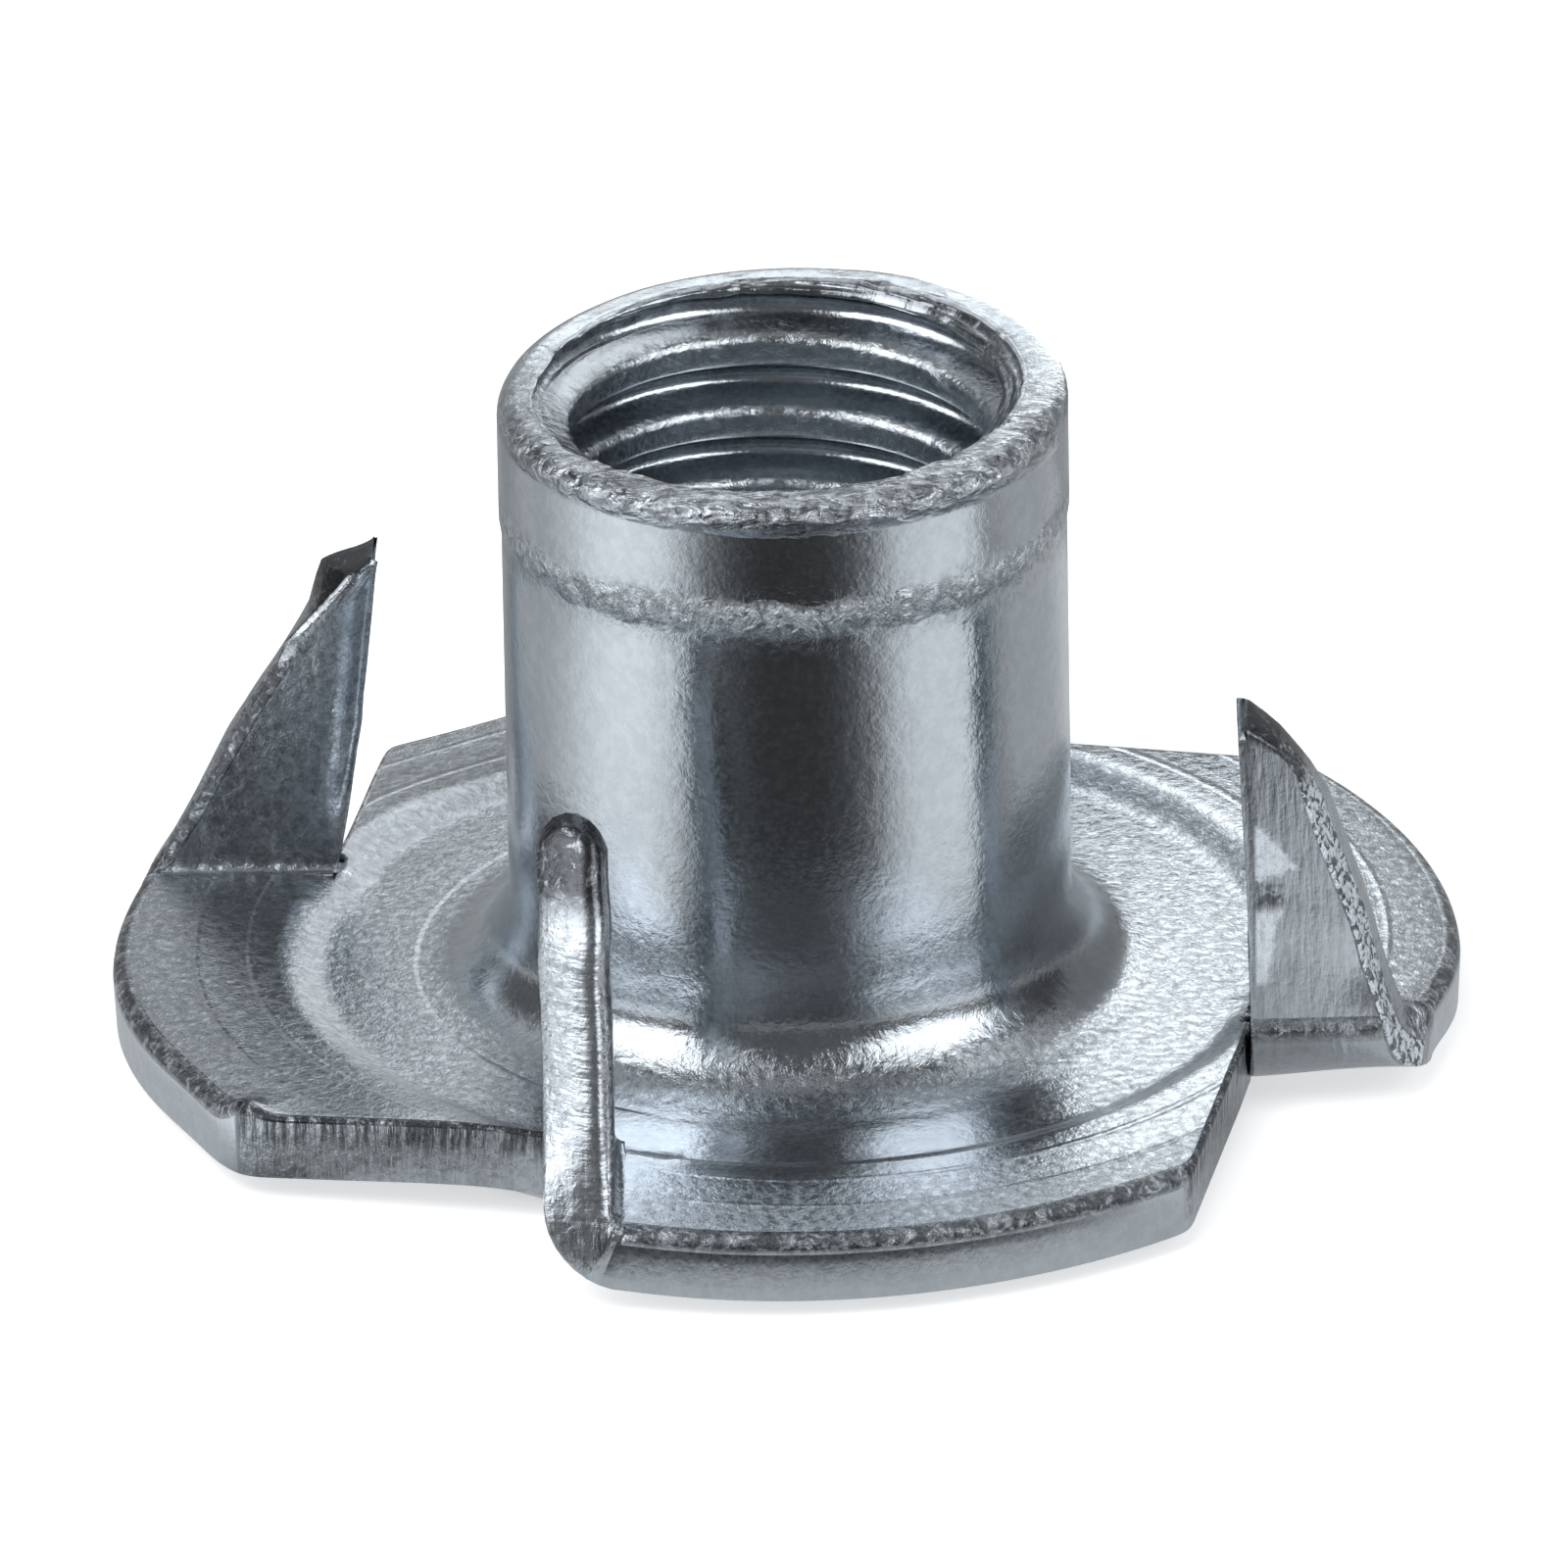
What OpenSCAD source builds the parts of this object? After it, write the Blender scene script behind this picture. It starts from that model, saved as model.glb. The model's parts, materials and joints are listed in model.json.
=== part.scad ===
// Tee nut with a threaded barrel and four prongs, pressed in one piece from sheet steel.
// The nut rests on z = 0 and the barrel stands up along +Z from the middle of the flange.

/* [Barrel] */
// Height from the face the nut rests on to the mouth
total_h = 11.4; // [9:0.1:16]
// Outside diameter of the barrel
barrel_d = 9.2; // [8.8:0.1:10]
// Diameter of the bore, across the crests of the thread
bore_d = 6.9; // [6.6:0.05:7.1]
// Diameter of the countersink at the mouth
mouth_d = 7.8; // [7.4:0.05:8]
// Rounding of the mouth's outer edge
mouth_round = 0.35; // [0.1:0.05:0.45]
// Height of the sized land below the mouth
land_h = 2.1; // [1:0.1:3]
// How far the land stands out from the barrel
land_step = 0.04; // [0.02:0.01:0.06]
// Radius of the drawn root between the barrel and the flange
root_r = 1.3; // [0.8:0.1:1.6]

/* [Flange] */
// Diameter of the flange
flange_d = 22; // [21:0.5:24]
// Thickness of the sheet
sheet_t = 1.15; // [1:0.05:1.3]
// Diameter at which the flat rim ends and the dish begins
dish_d = 16.8; // [16.4:0.1:17.2]
// Width of the slope from the rim into the dish
slope_w = 0.9; // [0.7:0.05:1]
// Depth of the dish
dish_depth = 0.32; // [0.2:0.02:0.4]
// Rounding of the rim's upper edge, left by the blanking die
rim_roll = 0.28; // [0.1:0.02:0.4]
// How far each lobe of the rim draws in, from a prong round to the next shear cut
lobe_in = 0.25; // [0.1:0.05:0.5]

/* [Prongs] */
// Height of the prong tips
prong_h = 7.2; // [6:0.1:8.5]
// Distance from the nut's axis to the middle of a prong's sheet
prong_offset = 3.48; // [3.2:0.05:3.8]
// Where a prong's fold begins, measured along the prong
fold_start = 7.5; // [7.3:0.05:8]
// How far a prong leans in towards the barrel, from its fold to its tip
prong_lean = 0.4; // [0.1:0.05:0.5]
// Width of a prong's blunt end
tip_w = 0.75; // [0.5:0.05:1]
// Drop across a prong's blunt end
tip_drop = 0.62; // [0.4:0.02:0.8]
// Radius inside a prong's fold
fold_r = 0.25; // [0.15:0.05:0.4]
// How far the shear cut's end lies outside the start of the bend
cut_gap = 0.5; // [0.3:0.05:0.7]
// Angle at which the shear cut runs away from the prong
cut_angle = 11.6; // [6:0.2:14]
// Radius of the relief at the end of the shear cut
relief_r = 0.15; // [0.1:0.01:0.2]

/* [Hidden] */
$fn = 96;
PRONGS = 4;
SLOPE_STEPS = 8;
barrel_r = barrel_d / 2;
bore_r = bore_d / 2;
land_r = barrel_r + land_step;
flange_r = flange_d / 2;
rim_top = dish_depth + sheet_t;
dish_r = dish_d / 2;
floor_r = dish_r - slope_w;
// The root turns about this distance from the axis, and so does the rounded entry below the bore.
root_x = barrel_r + root_r;
root_z = sheet_t + root_r;
entry_r = root_x - bore_r;
// The fold turns from the rim's upper face into the prong's inner face.
fold_out_r = fold_r + sheet_t;
face_y = prong_offset + sheet_t / 2;
bend_y = face_y - fold_out_r;
bend_z = rim_top + fold_r;
tip_x = fold_start - prong_lean;
// The rim's four lobes are arcs about points off the nut's axis, so each draws in towards its cut.
LOBE_TURN = -45;
LOBE_SHARE = 0.69;
lobe_shift = lobe_in / LOBE_SHARE;
lobe_x = lobe_shift * cos(LOBE_TURN);
lobe_y = lobe_shift * sin(LOBE_TURN);
fold_turn = asin(bend_y / flange_r);
lobe_r = flange_r - lobe_shift * cos(LOBE_TURN + fold_turn);
rim_in_r = lobe_r - 1.5;
// The rim's own edge, where it runs on into the prong
prong_base = lobe_x + sqrt(lobe_r * lobe_r - pow(face_y - sheet_t + lobe_y, 2));

// Half of the barrel's section, from the entry up to the rounded and countersunk mouth
module barrel_section() {
    difference() {
        union() {
            translate([bore_r, entry_r]) square([barrel_r - bore_r, total_h - land_h - entry_r]);
            translate([bore_r, total_h - land_h])
                square([land_r - bore_r, land_h - mouth_round]);
            translate([bore_r, total_h - 2 * mouth_round])
                square([land_r - mouth_round - bore_r, 2 * mouth_round]);
            translate([land_r - mouth_round, total_h - mouth_round]) circle(r = mouth_round);
            polygon([
                [bore_r, total_h - land_h - 5 * land_step],
                [barrel_r, total_h - land_h - 5 * land_step],
                [land_r, total_h - land_h],
                [bore_r, total_h - land_h]
            ]);
        }
        countersink();
    }
}

// The corner that the countersink takes off the bore
module countersink() {
    depth = mouth_d / 2 - bore_r;
    polygon([
        [bore_r - 1, total_h - depth - 1],
        [mouth_d / 2 + 1, total_h + 1],
        [bore_r - 1, total_h + 1]
    ]);
}

// Half of the root's section, where the flange's sheet turns up into the barrel
module root_section() {
    difference() {
        intersection() {
            translate([root_x, entry_r]) circle(r = entry_r);
            translate([bore_r, 0]) square([entry_r, entry_r]);
        }
        translate([root_x, root_z]) circle(r = root_r);
    }
}

// Half of the dish's section: the floor, the slope and the flat beyond it
module dish_section() {
    translate([root_x, 0]) square([floor_r - root_x, sheet_t]);
    polygon(concat(slope_line(0), [for (p = [SLOPE_STEPS:-1:0]) slope_point(p, sheet_t)]));
    translate([dish_r, dish_depth]) square([rim_in_r - dish_r + 0.5, sheet_t]);
}

// The rim's section, rounded above, about a lobe's own middle
module rim_section() {
    translate([rim_in_r, dish_depth]) square([lobe_r - rim_in_r, sheet_t - rim_roll]);
    translate([rim_in_r, dish_depth]) square([lobe_r - rim_roll - rim_in_r, sheet_t]);
    translate([lobe_r - rim_roll, rim_top - rim_roll]) circle(r = rim_roll);
}

// One lobe of the rim, from its prong's fold round to past the next shear cut
module lobe() {
    translate([lobe_x, lobe_y, 0]) rotate([0, 0, -20]) rotate_extrude(angle = 70) rim_section();
}

// A smooth slope from the floor to the rim, lifted by some height
function slope_point(step, lift) = let (share = step / SLOPE_STEPS)
    [floor_r + slope_w * share, dish_depth * (1 - cos(180 * share)) / 2 + lift];
function slope_line(lift) = [for (step = [0:SLOPE_STEPS]) slope_point(step, lift)];

// The drawn blank, before its prongs are cut and bent
module drawn_blank() {
    rotate_extrude() {
        barrel_section();
        root_section();
        dish_section();
    }
    around() lobe();
}

// Repeats what it is given at each prong's place
module around() {
    for (turn = [0:PRONGS - 1]) rotate([0, 0, turn * 360 / PRONGS]) children();
}

// What the shear cut and the bent-up prong leave open in the flange
module notch() {
    far = flange_d;
    cut_y = bend_y + cut_gap;
    translate([0, 0, -1]) linear_extrude(rim_top + 2) {
        polygon([
            [fold_start, -bend_y],
            [fold_start, -cut_y],
            [fold_start - far * sin(cut_angle), -cut_y - far * cos(cut_angle)],
            [far, -far],
            [far, -bend_y]
        ]);
        translate([fold_start, -cut_y]) circle(r = relief_r);
    }
}

// The quarter turn of sheet between the flange and a prong
module fold() {
    translate([fold_start, -bend_y, bend_z])
        rotate([0, 90, 0])
        rotate([0, 0, -90])
        rotate_extrude(angle = 90)
        translate([fold_r, 0]) square([sheet_t, flange_r - fold_start]);
}

// The flat of a prong, standing on its fold
module blade() {
    translate([0, -face_y + sheet_t, 0]) rotate([90, 0, 0]) linear_extrude(sheet_t)
        polygon([
            [fold_start, bend_z],
            [tip_x, prong_h],
            [tip_x + tip_w, prong_h - tip_drop],
            [prong_base, bend_z]
        ]);
}

// One prong, trimmed outside by the rim that it was cut from
module prong() {
    intersection() {
        union() {
            fold();
            blade();
        }
        translate([lobe_x, lobe_y, 0]) cylinder(r = lobe_r, h = total_h);
    }
}

module tee_nut() {
    color([0.74, 0.77, 0.8]) {
        difference() {
            drawn_blank();
            around() notch();
        }
        around() prong();
    }
}

tee_nut();
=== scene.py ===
# %% [markdown]
# # A pressed tee nut, dressed around its CAD frame
#
# A tee nut is stamped and drawn from one piece of sheet steel, tapped, and zinc plated. The CAD model
# already holds its true sizes. This script makes the same nut again as one fine, closed mesh, with the
# things a press leaves behind: a helical thread, rolled and sheared edges, a dished flange and four
# prongs that each came up a little differently. It works in metres, in the frame of the CAD model.

# %% Load the frame
import json
import math

import bpy
import numpy as np
from mathutils import Matrix, Vector


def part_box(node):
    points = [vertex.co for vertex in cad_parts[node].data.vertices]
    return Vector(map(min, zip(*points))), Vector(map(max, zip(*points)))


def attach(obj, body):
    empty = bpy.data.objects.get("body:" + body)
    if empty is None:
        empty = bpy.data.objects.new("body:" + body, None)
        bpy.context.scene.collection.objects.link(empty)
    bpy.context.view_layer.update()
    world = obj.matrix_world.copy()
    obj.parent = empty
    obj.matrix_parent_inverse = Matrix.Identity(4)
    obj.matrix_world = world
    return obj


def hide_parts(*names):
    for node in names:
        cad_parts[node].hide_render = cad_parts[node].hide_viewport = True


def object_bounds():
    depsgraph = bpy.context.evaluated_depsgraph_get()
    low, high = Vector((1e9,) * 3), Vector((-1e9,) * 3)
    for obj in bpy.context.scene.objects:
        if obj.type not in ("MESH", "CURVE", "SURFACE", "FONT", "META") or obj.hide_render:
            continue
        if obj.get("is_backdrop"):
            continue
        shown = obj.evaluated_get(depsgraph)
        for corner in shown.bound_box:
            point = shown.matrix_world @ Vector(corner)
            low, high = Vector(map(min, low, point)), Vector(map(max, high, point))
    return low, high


for start_up in ("Cube", "Light", "Camera"):
    if start_up in bpy.data.objects:
        bpy.data.objects.remove(bpy.data.objects[start_up])
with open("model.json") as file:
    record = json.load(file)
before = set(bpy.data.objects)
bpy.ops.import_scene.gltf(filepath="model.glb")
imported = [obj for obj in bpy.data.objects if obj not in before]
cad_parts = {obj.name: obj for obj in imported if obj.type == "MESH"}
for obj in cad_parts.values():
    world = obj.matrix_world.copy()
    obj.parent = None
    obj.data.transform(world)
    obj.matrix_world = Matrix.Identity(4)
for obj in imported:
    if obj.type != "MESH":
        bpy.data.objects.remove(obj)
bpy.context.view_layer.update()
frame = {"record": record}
MM = 0.001
low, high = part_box("tee_nut")
record_mounts = {mount["name"]: mount for mount in frame["record"]["mounts"]}
TOTAL_H = high.z
FLANGE_R = 11.0 * MM
BORE_R = record_mounts["thread"]["dims"]["r_mm"] * MM
BARREL_R = record_mounts["barrel"]["dims"]["r_mm"] * MM
print(f"CAD box {(high.x - low.x) / MM:.2f} mm across and {TOTAL_H / MM:.2f} mm tall")

# %% [markdown]
# ## Small helpers
#
# Blender's operators act on whatever is selected. These helpers clear the selection, and read or
# write all of a mesh's points at once as an array, which is how a formula can shape them.


# %% Helpers for selections
def deselect_all():
    for thing in bpy.context.selected_objects:
        thing.select_set(False)


def make_active(thing):
    deselect_all()
    thing.select_set(True)
    bpy.context.view_layer.objects.active = thing


deselect_all()
print(f"{len(bpy.context.selected_objects)} things selected")


# %% Helpers for points and the values on them
def read_points(mesh):
    points = np.empty(len(mesh.vertices) * 3)
    mesh.vertices.foreach_get("co", points)
    return points.reshape(-1, 3)


def write_points(mesh, points):
    mesh.vertices.foreach_set("co", np.asarray(points, dtype=np.float64).ravel())
    mesh.update()


def read_values(mesh, name):
    values = np.empty(len(mesh.vertices), dtype=np.float32)
    mesh.attributes[name].data.foreach_get("value", values)
    return values.astype(float)


def write_values(mesh, name, values):
    if name not in mesh.attributes:
        mesh.attributes.new(name, "FLOAT", "POINT")
    mesh.attributes[name].data.foreach_set("value", np.asarray(values, dtype=np.float32))


cad_solid = bpy.data.objects["tee_nut"].data
print(f"{len(read_points(cad_solid))} points in the CAD solid")


# %% Helpers for smooth and ragged lines
KNOTS = 1002
MIDDLE_KNOT = 500


def lerp(start, end, share):
    return start + (end - start) * share


def smoothstep(low_edge, high_edge, value):
    share = np.clip((value - low_edge) / (high_edge - low_edge), 0, 1)
    return share * share * (3 - 2 * share)


def ragged(place, step, seed):
    """Seeded random heights between -1 and 1, a step apart along a line, and joined smoothly."""
    position = np.asarray(place) / step + MIDDLE_KNOT
    first = np.floor(position).astype(int)
    knots = np.random.default_rng(seed).uniform(-1, 1, KNOTS)
    share = position - first
    share = share * share * (3 - 2 * share)
    return knots[first] * (1 - share) + knots[first + 1] * share


print(f"a quarter of the way, a smooth step is at {smoothstep(0, 1, 0.25):.2f}")

# %% [markdown]
# ## The sheet and its dish
#
# The flange is 1.15 mm sheet. Its middle is pressed down into a shallow dish, so the outer rim stands
# a third of a millimetre higher. One formula gives that lift at any distance from the axis, and both
# faces of the sheet follow it.

# %% Sizes of the sheet
SHEET = 1.15 * MM
DISH_END_R = 8.4 * MM
SLOPE_W = 0.9 * MM
DISH_DEPTH = 0.32 * MM
FLOOR_R = DISH_END_R - SLOPE_W
JOIN_R = 7.3 * MM
ROOT_R = 1.3 * MM
ROOT_X = BARREL_R + ROOT_R
RIM_TOP = DISH_DEPTH + SHEET


def dish_lift(radius):
    share = np.clip((radius - FLOOR_R) / SLOPE_W, 0, 1)
    return DISH_DEPTH * (1 - np.cos(np.pi * share)) / 2


print(f"rim top at {RIM_TOP * 1000:.2f} mm, dish floor out to {FLOOR_R * 1000:.2f} mm")

# %% [markdown]
# ## The outline of the rim
#
# Seen from above, the rim is four lobes. Each prong was freed by one shear cut that runs out to the
# rim, and was then bent up along a fold. So a quarter of the outline is: a stretch of rim, a corner,
# the cut, a small round relief, the fold, and the next stretch of rim. The outline is sampled at
# columns, which crowd where the corners are, and every ring of the mesh uses the same columns.

# %% Sizes of the lobes, the cuts and the folds
PRONGS = 4
FOLD_START = 7.5 * MM
FOLD_R = 0.16 * MM
PRONG_OFFSET = 3.48 * MM
FACE_Y = PRONG_OFFSET + SHEET / 2
BEND_Y = FACE_Y - FOLD_R - SHEET
BEND_Z = RIM_TOP + FOLD_R
CUT_Y = BEND_Y + 0.5 * MM
CUT_ANGLE = math.radians(11.6)
RELIEF_R = 0.15 * MM
RELIEF_RISE = 1.3 * RELIEF_R
LOBE_SHIFT = 0.25 * MM / 0.69
LOBE_TURN = math.radians(-45)
FOLD_TURN = math.asin(BEND_Y / FLANGE_R)
LOBE_R = FLANGE_R - LOBE_SHIFT * math.cos(LOBE_TURN + FOLD_TURN)
QUARTER_START = math.radians(-60)
CORNER = 0.3 * MM
COLUMNS = {"before": 8, "corner": 5, "cut": 34, "relief": 6, "fold": 20, "after": 37}
QUARTER_COLUMNS = sum(COLUMNS.values())
print(f"{QUARTER_COLUMNS} columns in a quarter, lobes of {LOBE_R / MM:.2f} mm radius")


# %% The arc of a lobe
def lobe_centre(turn):
    angle = LOBE_TURN + turn
    return LOBE_SHIFT * np.array([math.cos(angle), math.sin(angle)])


def lobe_point(turn, angle):
    """The point of a lobe's arc that lies at some angle seen from the nut's axis."""
    centre = lobe_centre(turn)
    ray = np.array([math.cos(angle), math.sin(angle)])
    along = ray @ centre
    return ray * (along + math.sqrt(along * along - centre @ centre + LOBE_R * LOBE_R))


print(f"a lobe's arc passes {np.linalg.norm(lobe_point(0.0, 0.0)) / MM:.2f} mm from the axis")


# %% The outline of one quarter
def quarter_outline():
    """Points of a quarter of the rim, anticlockwise, and the first and last column of the fold."""
    before, after = -math.pi / 2, 0.0
    cut_start = np.array([FOLD_START, -CUT_Y])
    cut_way = np.array([-math.sin(CUT_ANGLE), -math.cos(CUT_ANGLE)])
    centre = lobe_centre(before)
    from_centre = cut_start - centre
    half = from_centre @ cut_way
    cut_length = -half + math.sqrt(half * half - from_centre @ from_centre + LOBE_R**2)
    corner = cut_start + cut_way * cut_length
    corner_angle = math.atan2(corner[1], corner[0])
    rim_end = corner_angle - CORNER / FLANGE_R
    points = []
    for i in range(COLUMNS["before"]):
        share = i / COLUMNS["before"]
        points.append(lobe_point(before, lerp(QUARTER_START, rim_end, share)))
    corner_in = lobe_point(before, rim_end)
    corner_out = corner - cut_way * CORNER
    for i in range(COLUMNS["corner"]):
        share = i / COLUMNS["corner"]
        points.append(
            lerp(lerp(corner_in, corner, share), lerp(corner, corner_out, share), share)
        )
    cut_end = cut_start + cut_way * RELIEF_R
    for i in range(COLUMNS["cut"]):
        points.append(lerp(corner_out, cut_end, i / COLUMNS["cut"]))
    for i in range(COLUMNS["relief"] - 1):
        angle = -CUT_ANGLE - math.pi / 2 - math.pi * i / (COLUMNS["relief"] - 1)
        turned = RELIEF_R * np.array([math.cos(angle), math.sin(angle)])
        points.append(cut_start + turned)
    points.append(np.array([FOLD_START, -CUT_Y + RELIEF_RISE]))
    fold_first = len(points)
    fold_end = lobe_centre(after)[0] + math.sqrt(
        LOBE_R**2 - (BEND_Y + lobe_centre(after)[1]) ** 2
    )
    for i in range(COLUMNS["fold"]):
        points.append(np.array([lerp(FOLD_START, fold_end, i / COLUMNS["fold"]), -BEND_Y]))
    fold_last = len(points)
    rim_start = math.atan2(-BEND_Y, fold_end)
    for i in range(COLUMNS["after"] + 1):
        angle = lerp(rim_start, QUARTER_START + math.pi / 2, i / COLUMNS["after"])
        points.append(lobe_point(after, angle))
    return np.array(points), fold_first, fold_last


outline, FOLD_FIRST, FOLD_LAST = quarter_outline()
column_angles = np.arctan2(outline[:, 1], outline[:, 0])
FOLD_END = outline[FOLD_LAST, 0]
print(f"{len(outline)} columns, angles rise: {bool((np.diff(column_angles) > 0).all())}")

# %% [markdown]
# ## The edge of the sheet
#
# The blanking die draws the rim's upper edge round before it shears through, and leaves a small sharp
# corner below. The shear cuts have almost no such roll. Each column therefore has its own roll radius,
# and the rows of the edge are placed by their depth in the sheet and by how far they stand back.

# %% Sizes of the edge, and the rows from the dish, over the edge and back underneath
RIM_ROLL = 0.28 * MM
CUT_ROLL = 0.1 * MM
LOWER_CORNER = 0.06 * MM
SHEAR_SLANT = 0.04 * MM
ROLL_STEPS = 5
WALL_STEPS = 4
SLOPE_RADII = np.array([7.3, 7.5, 7.6, 7.7, 7.8, 7.9, 8.0, 8.1, 8.2, 8.3, 8.4]) * MM
SLOPE_ROOM = 0.3 * MM
RIM_SHARES = [0.16, 0.33, 0.5, 0.66, 0.8, 0.91, 1.0]
UNDER_SHARES = [0.95, 0.7, 0.35]
PULL_COLUMNS = 13
UNDER_RADII = np.array([8.4, 8.2, 8.05, 7.9, 7.75, 7.6, 7.5, 7.3]) * MM
print(f"the rim rolls over by {RIM_ROLL / MM:.2f} mm, the cuts by {CUT_ROLL / MM:.2f} mm")


# %% How each column rolls over, and which way it faces
def roll_of_columns():
    roll = np.full(len(outline), RIM_ROLL)
    first_cut = COLUMNS["before"] + COLUMNS["corner"]
    last_cut = first_cut + COLUMNS["cut"] + COLUMNS["relief"]
    index = np.arange(len(outline))
    into_cut = smoothstep(COLUMNS["before"], first_cut + 2, index)
    roll = lerp(roll, CUT_ROLL, into_cut)
    return np.where(index > last_cut, RIM_ROLL, roll)


def outward_normals():
    along = np.gradient(outline, axis=0)
    normal = np.stack([along[:, 1], -along[:, 0]], axis=1)
    normal /= np.linalg.norm(normal, axis=1)[:, None]
    # On a lobe's arc the normal is known exactly, and neighbouring lobes then share their seam.
    for i in list(range(COLUMNS["before"])) + list(range(FOLD_LAST + 1, len(outline))):
        centre = lobe_centre(-math.pi / 2 if i < COLUMNS["before"] else 0.0)
        normal[i] = (outline[i] - centre) / LOBE_R
    # The fold's outer end keeps its roll in the plane of the fold, so that the prong inherits it.
    normal[FOLD_LAST] = (1, 0)
    normal[FOLD_FIRST] = (1, 0)
    return normal


print(f"{len(outward_normals())} columns face outwards")


# %% The rows of the edge
def edge_rows(roll):
    """How far back and how deep each row of the edge lies, for one roll radius."""
    rows = []
    for i in range(ROLL_STEPS + 1):
        angle = math.pi / 2 * i / ROLL_STEPS
        rows.append((roll * (1 - math.sin(angle)), roll * (1 - math.cos(angle))))
    wall_end = SHEET - LOWER_CORNER
    for i in range(1, WALL_STEPS):
        depth = lerp(roll, wall_end, i / WALL_STEPS)
        rows.append((SHEAR_SLANT * i / WALL_STEPS, depth))
    for i in range(3):
        angle = math.pi / 2 * i / 2
        back = SHEAR_SLANT + LOWER_CORNER * (1 - math.cos(angle))
        rows.append((back, wall_end + LOWER_CORNER * math.sin(angle)))
    return rows


print(f"{len(edge_rows(RIM_ROLL))} rows down the edge")


# %% All rows of a quarter
def sheet_quarter():
    """An array of points, one row after another, over the quarter's columns."""
    roll = roll_of_columns()
    normal = outward_normals()
    fold = np.arange(FOLD_FIRST, FOLD_LAST + 1)
    fold_share = (fold - FOLD_FIRST) / (FOLD_LAST - FOLD_FIRST)
    edge_lift = dish_lift(np.linalg.norm(outline, axis=1))
    pulled = np.zeros(len(outline))
    pulled[fold] = DISH_DEPTH - edge_lift[fold]
    for step in range(1, PULL_COLUMNS):
        pulled[FOLD_FIRST - step] = pulled[FOLD_FIRST] * smoothstep(PULL_COLUMNS, 0, step)
    edge_z = edge_lift + pulled
    edge = []
    for i in range(len(edge_rows(RIM_ROLL))):
        back = np.array([edge_rows(r)[i][0] for r in roll])
        depth = np.array([edge_rows(r)[i][1] for r in roll])
        inner_back = edge_rows(CUT_ROLL)[i][0]
        row = outline - normal * back[:, None]
        depth[fold] = edge_rows(RIM_ROLL)[i][1]
        start_x = FOLD_START - inner_back
        end_x = FOLD_END - back[FOLD_LAST]
        row[fold, 0] = lerp(start_x, end_x, fold_share)
        row[fold, 1] = -BEND_Y
        edge.append(np.column_stack([row, edge_z + SHEET - depth]))
    inner = JOIN_R * np.column_stack([np.cos(column_angles), np.sin(column_angles)])

    def face(edge_row, radii, shares, height):
        """Rows between the join ring and one row of the edge, from the inside outwards."""
        reach = np.linalg.norm(edge_row[:, :2], axis=1)
        room = np.clip((reach - JOIN_R) / (DISH_END_R + SLOPE_ROOM - JOIN_R), 0, 1)
        rows = []
        for radius in radii:
            share = (radius - JOIN_R) * room / (reach - JOIN_R)
            rows.append(share)
        rows += [lerp(rows[-1], 1.0, share) for share in shares]
        made = []
        for share in rows:
            flat = inner + (edge_row[:, :2] - inner) * share[:, None]
            lift = dish_lift(np.linalg.norm(flat, axis=1)) + pulled * share * share
            made.append(np.column_stack([flat, lift + height]))
        return made

    top = face(edge[0], SLOPE_RADII, RIM_SHARES[:-1], SHEET)
    under = face(edge[-1], UNDER_RADII[::-1], UNDER_SHARES[::-1], 0.0)
    return top + edge + under[::-1], len(top), len(top) + len(edge) - 1


rows, EDGE_FIRST, EDGE_LAST = sheet_quarter()
print(f"{len(rows)} rows, the edge is rows {EDGE_FIRST} to {EDGE_LAST}")

# %% [markdown]
# ## A quarter of the flange
#
# A grid is laid with one face for each cell of columns and rows, and its points are moved to where the
# formula puts them. The grid is like the flat blank: bending it round gives both faces and the edge.

# %% Lay the grid and shape it
deselect_all()
bpy.ops.mesh.primitive_grid_add(
    x_subdivisions=QUARTER_COLUMNS, y_subdivisions=len(rows) - 1, size=1
)
quarter = bpy.context.active_object
grid_points = read_points(quarter.data)
column = np.rint((grid_points[:, 0] + 0.5) * QUARTER_COLUMNS).astype(int)
row = np.rint((grid_points[:, 1] + 0.5) * (len(rows) - 1)).astype(int)
write_points(quarter.data, np.array(rows)[row, column])
print(f"{len(quarter.data.polygons)} faces in a quarter of the flange")

# %% [markdown]
# ## Marks that the finish will need
#
# Later the finish has to know which faces were shorn, which edge was rolled, and how deep in the sheet
# a point lies. That is known now, while the mesh is still a grid, so it is written down as attributes.

# %% Write the marks
ROLL_ROWS = 4
CUT_MARGIN = 2
is_cut = (column >= COLUMNS["before"] + CUT_MARGIN) & (column <= FOLD_FIRST)
row_depth = np.array([depth for back, depth in edge_rows(RIM_ROLL)]) / SHEET
edge_row = np.clip(row - EDGE_FIRST, 0, EDGE_LAST - EDGE_FIRST)
across_fold = (column - FOLD_FIRST) / (FOLD_LAST - FOLD_FIRST)
marks = {
    "sheared": is_cut & (row > EDGE_FIRST + 1) & (row < EDGE_LAST),
    "rolled": (row >= EDGE_FIRST + 1) & (row <= EDGE_FIRST + ROLL_ROWS),
    "wall": ~is_cut & (row >= EDGE_FIRST + ROLL_ROWS) & (row <= EDGE_LAST),
    "prong": np.zeros(len(row)),
    "glitter": np.zeros(len(row)),
    "across": np.clip(across_fold, 0, 1),
    "depth": row_depth[edge_row],
}
for name, values in marks.items():
    write_values(quarter.data, name, values)
print(f"{len(marks)} marks on {len(row)} points")

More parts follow.
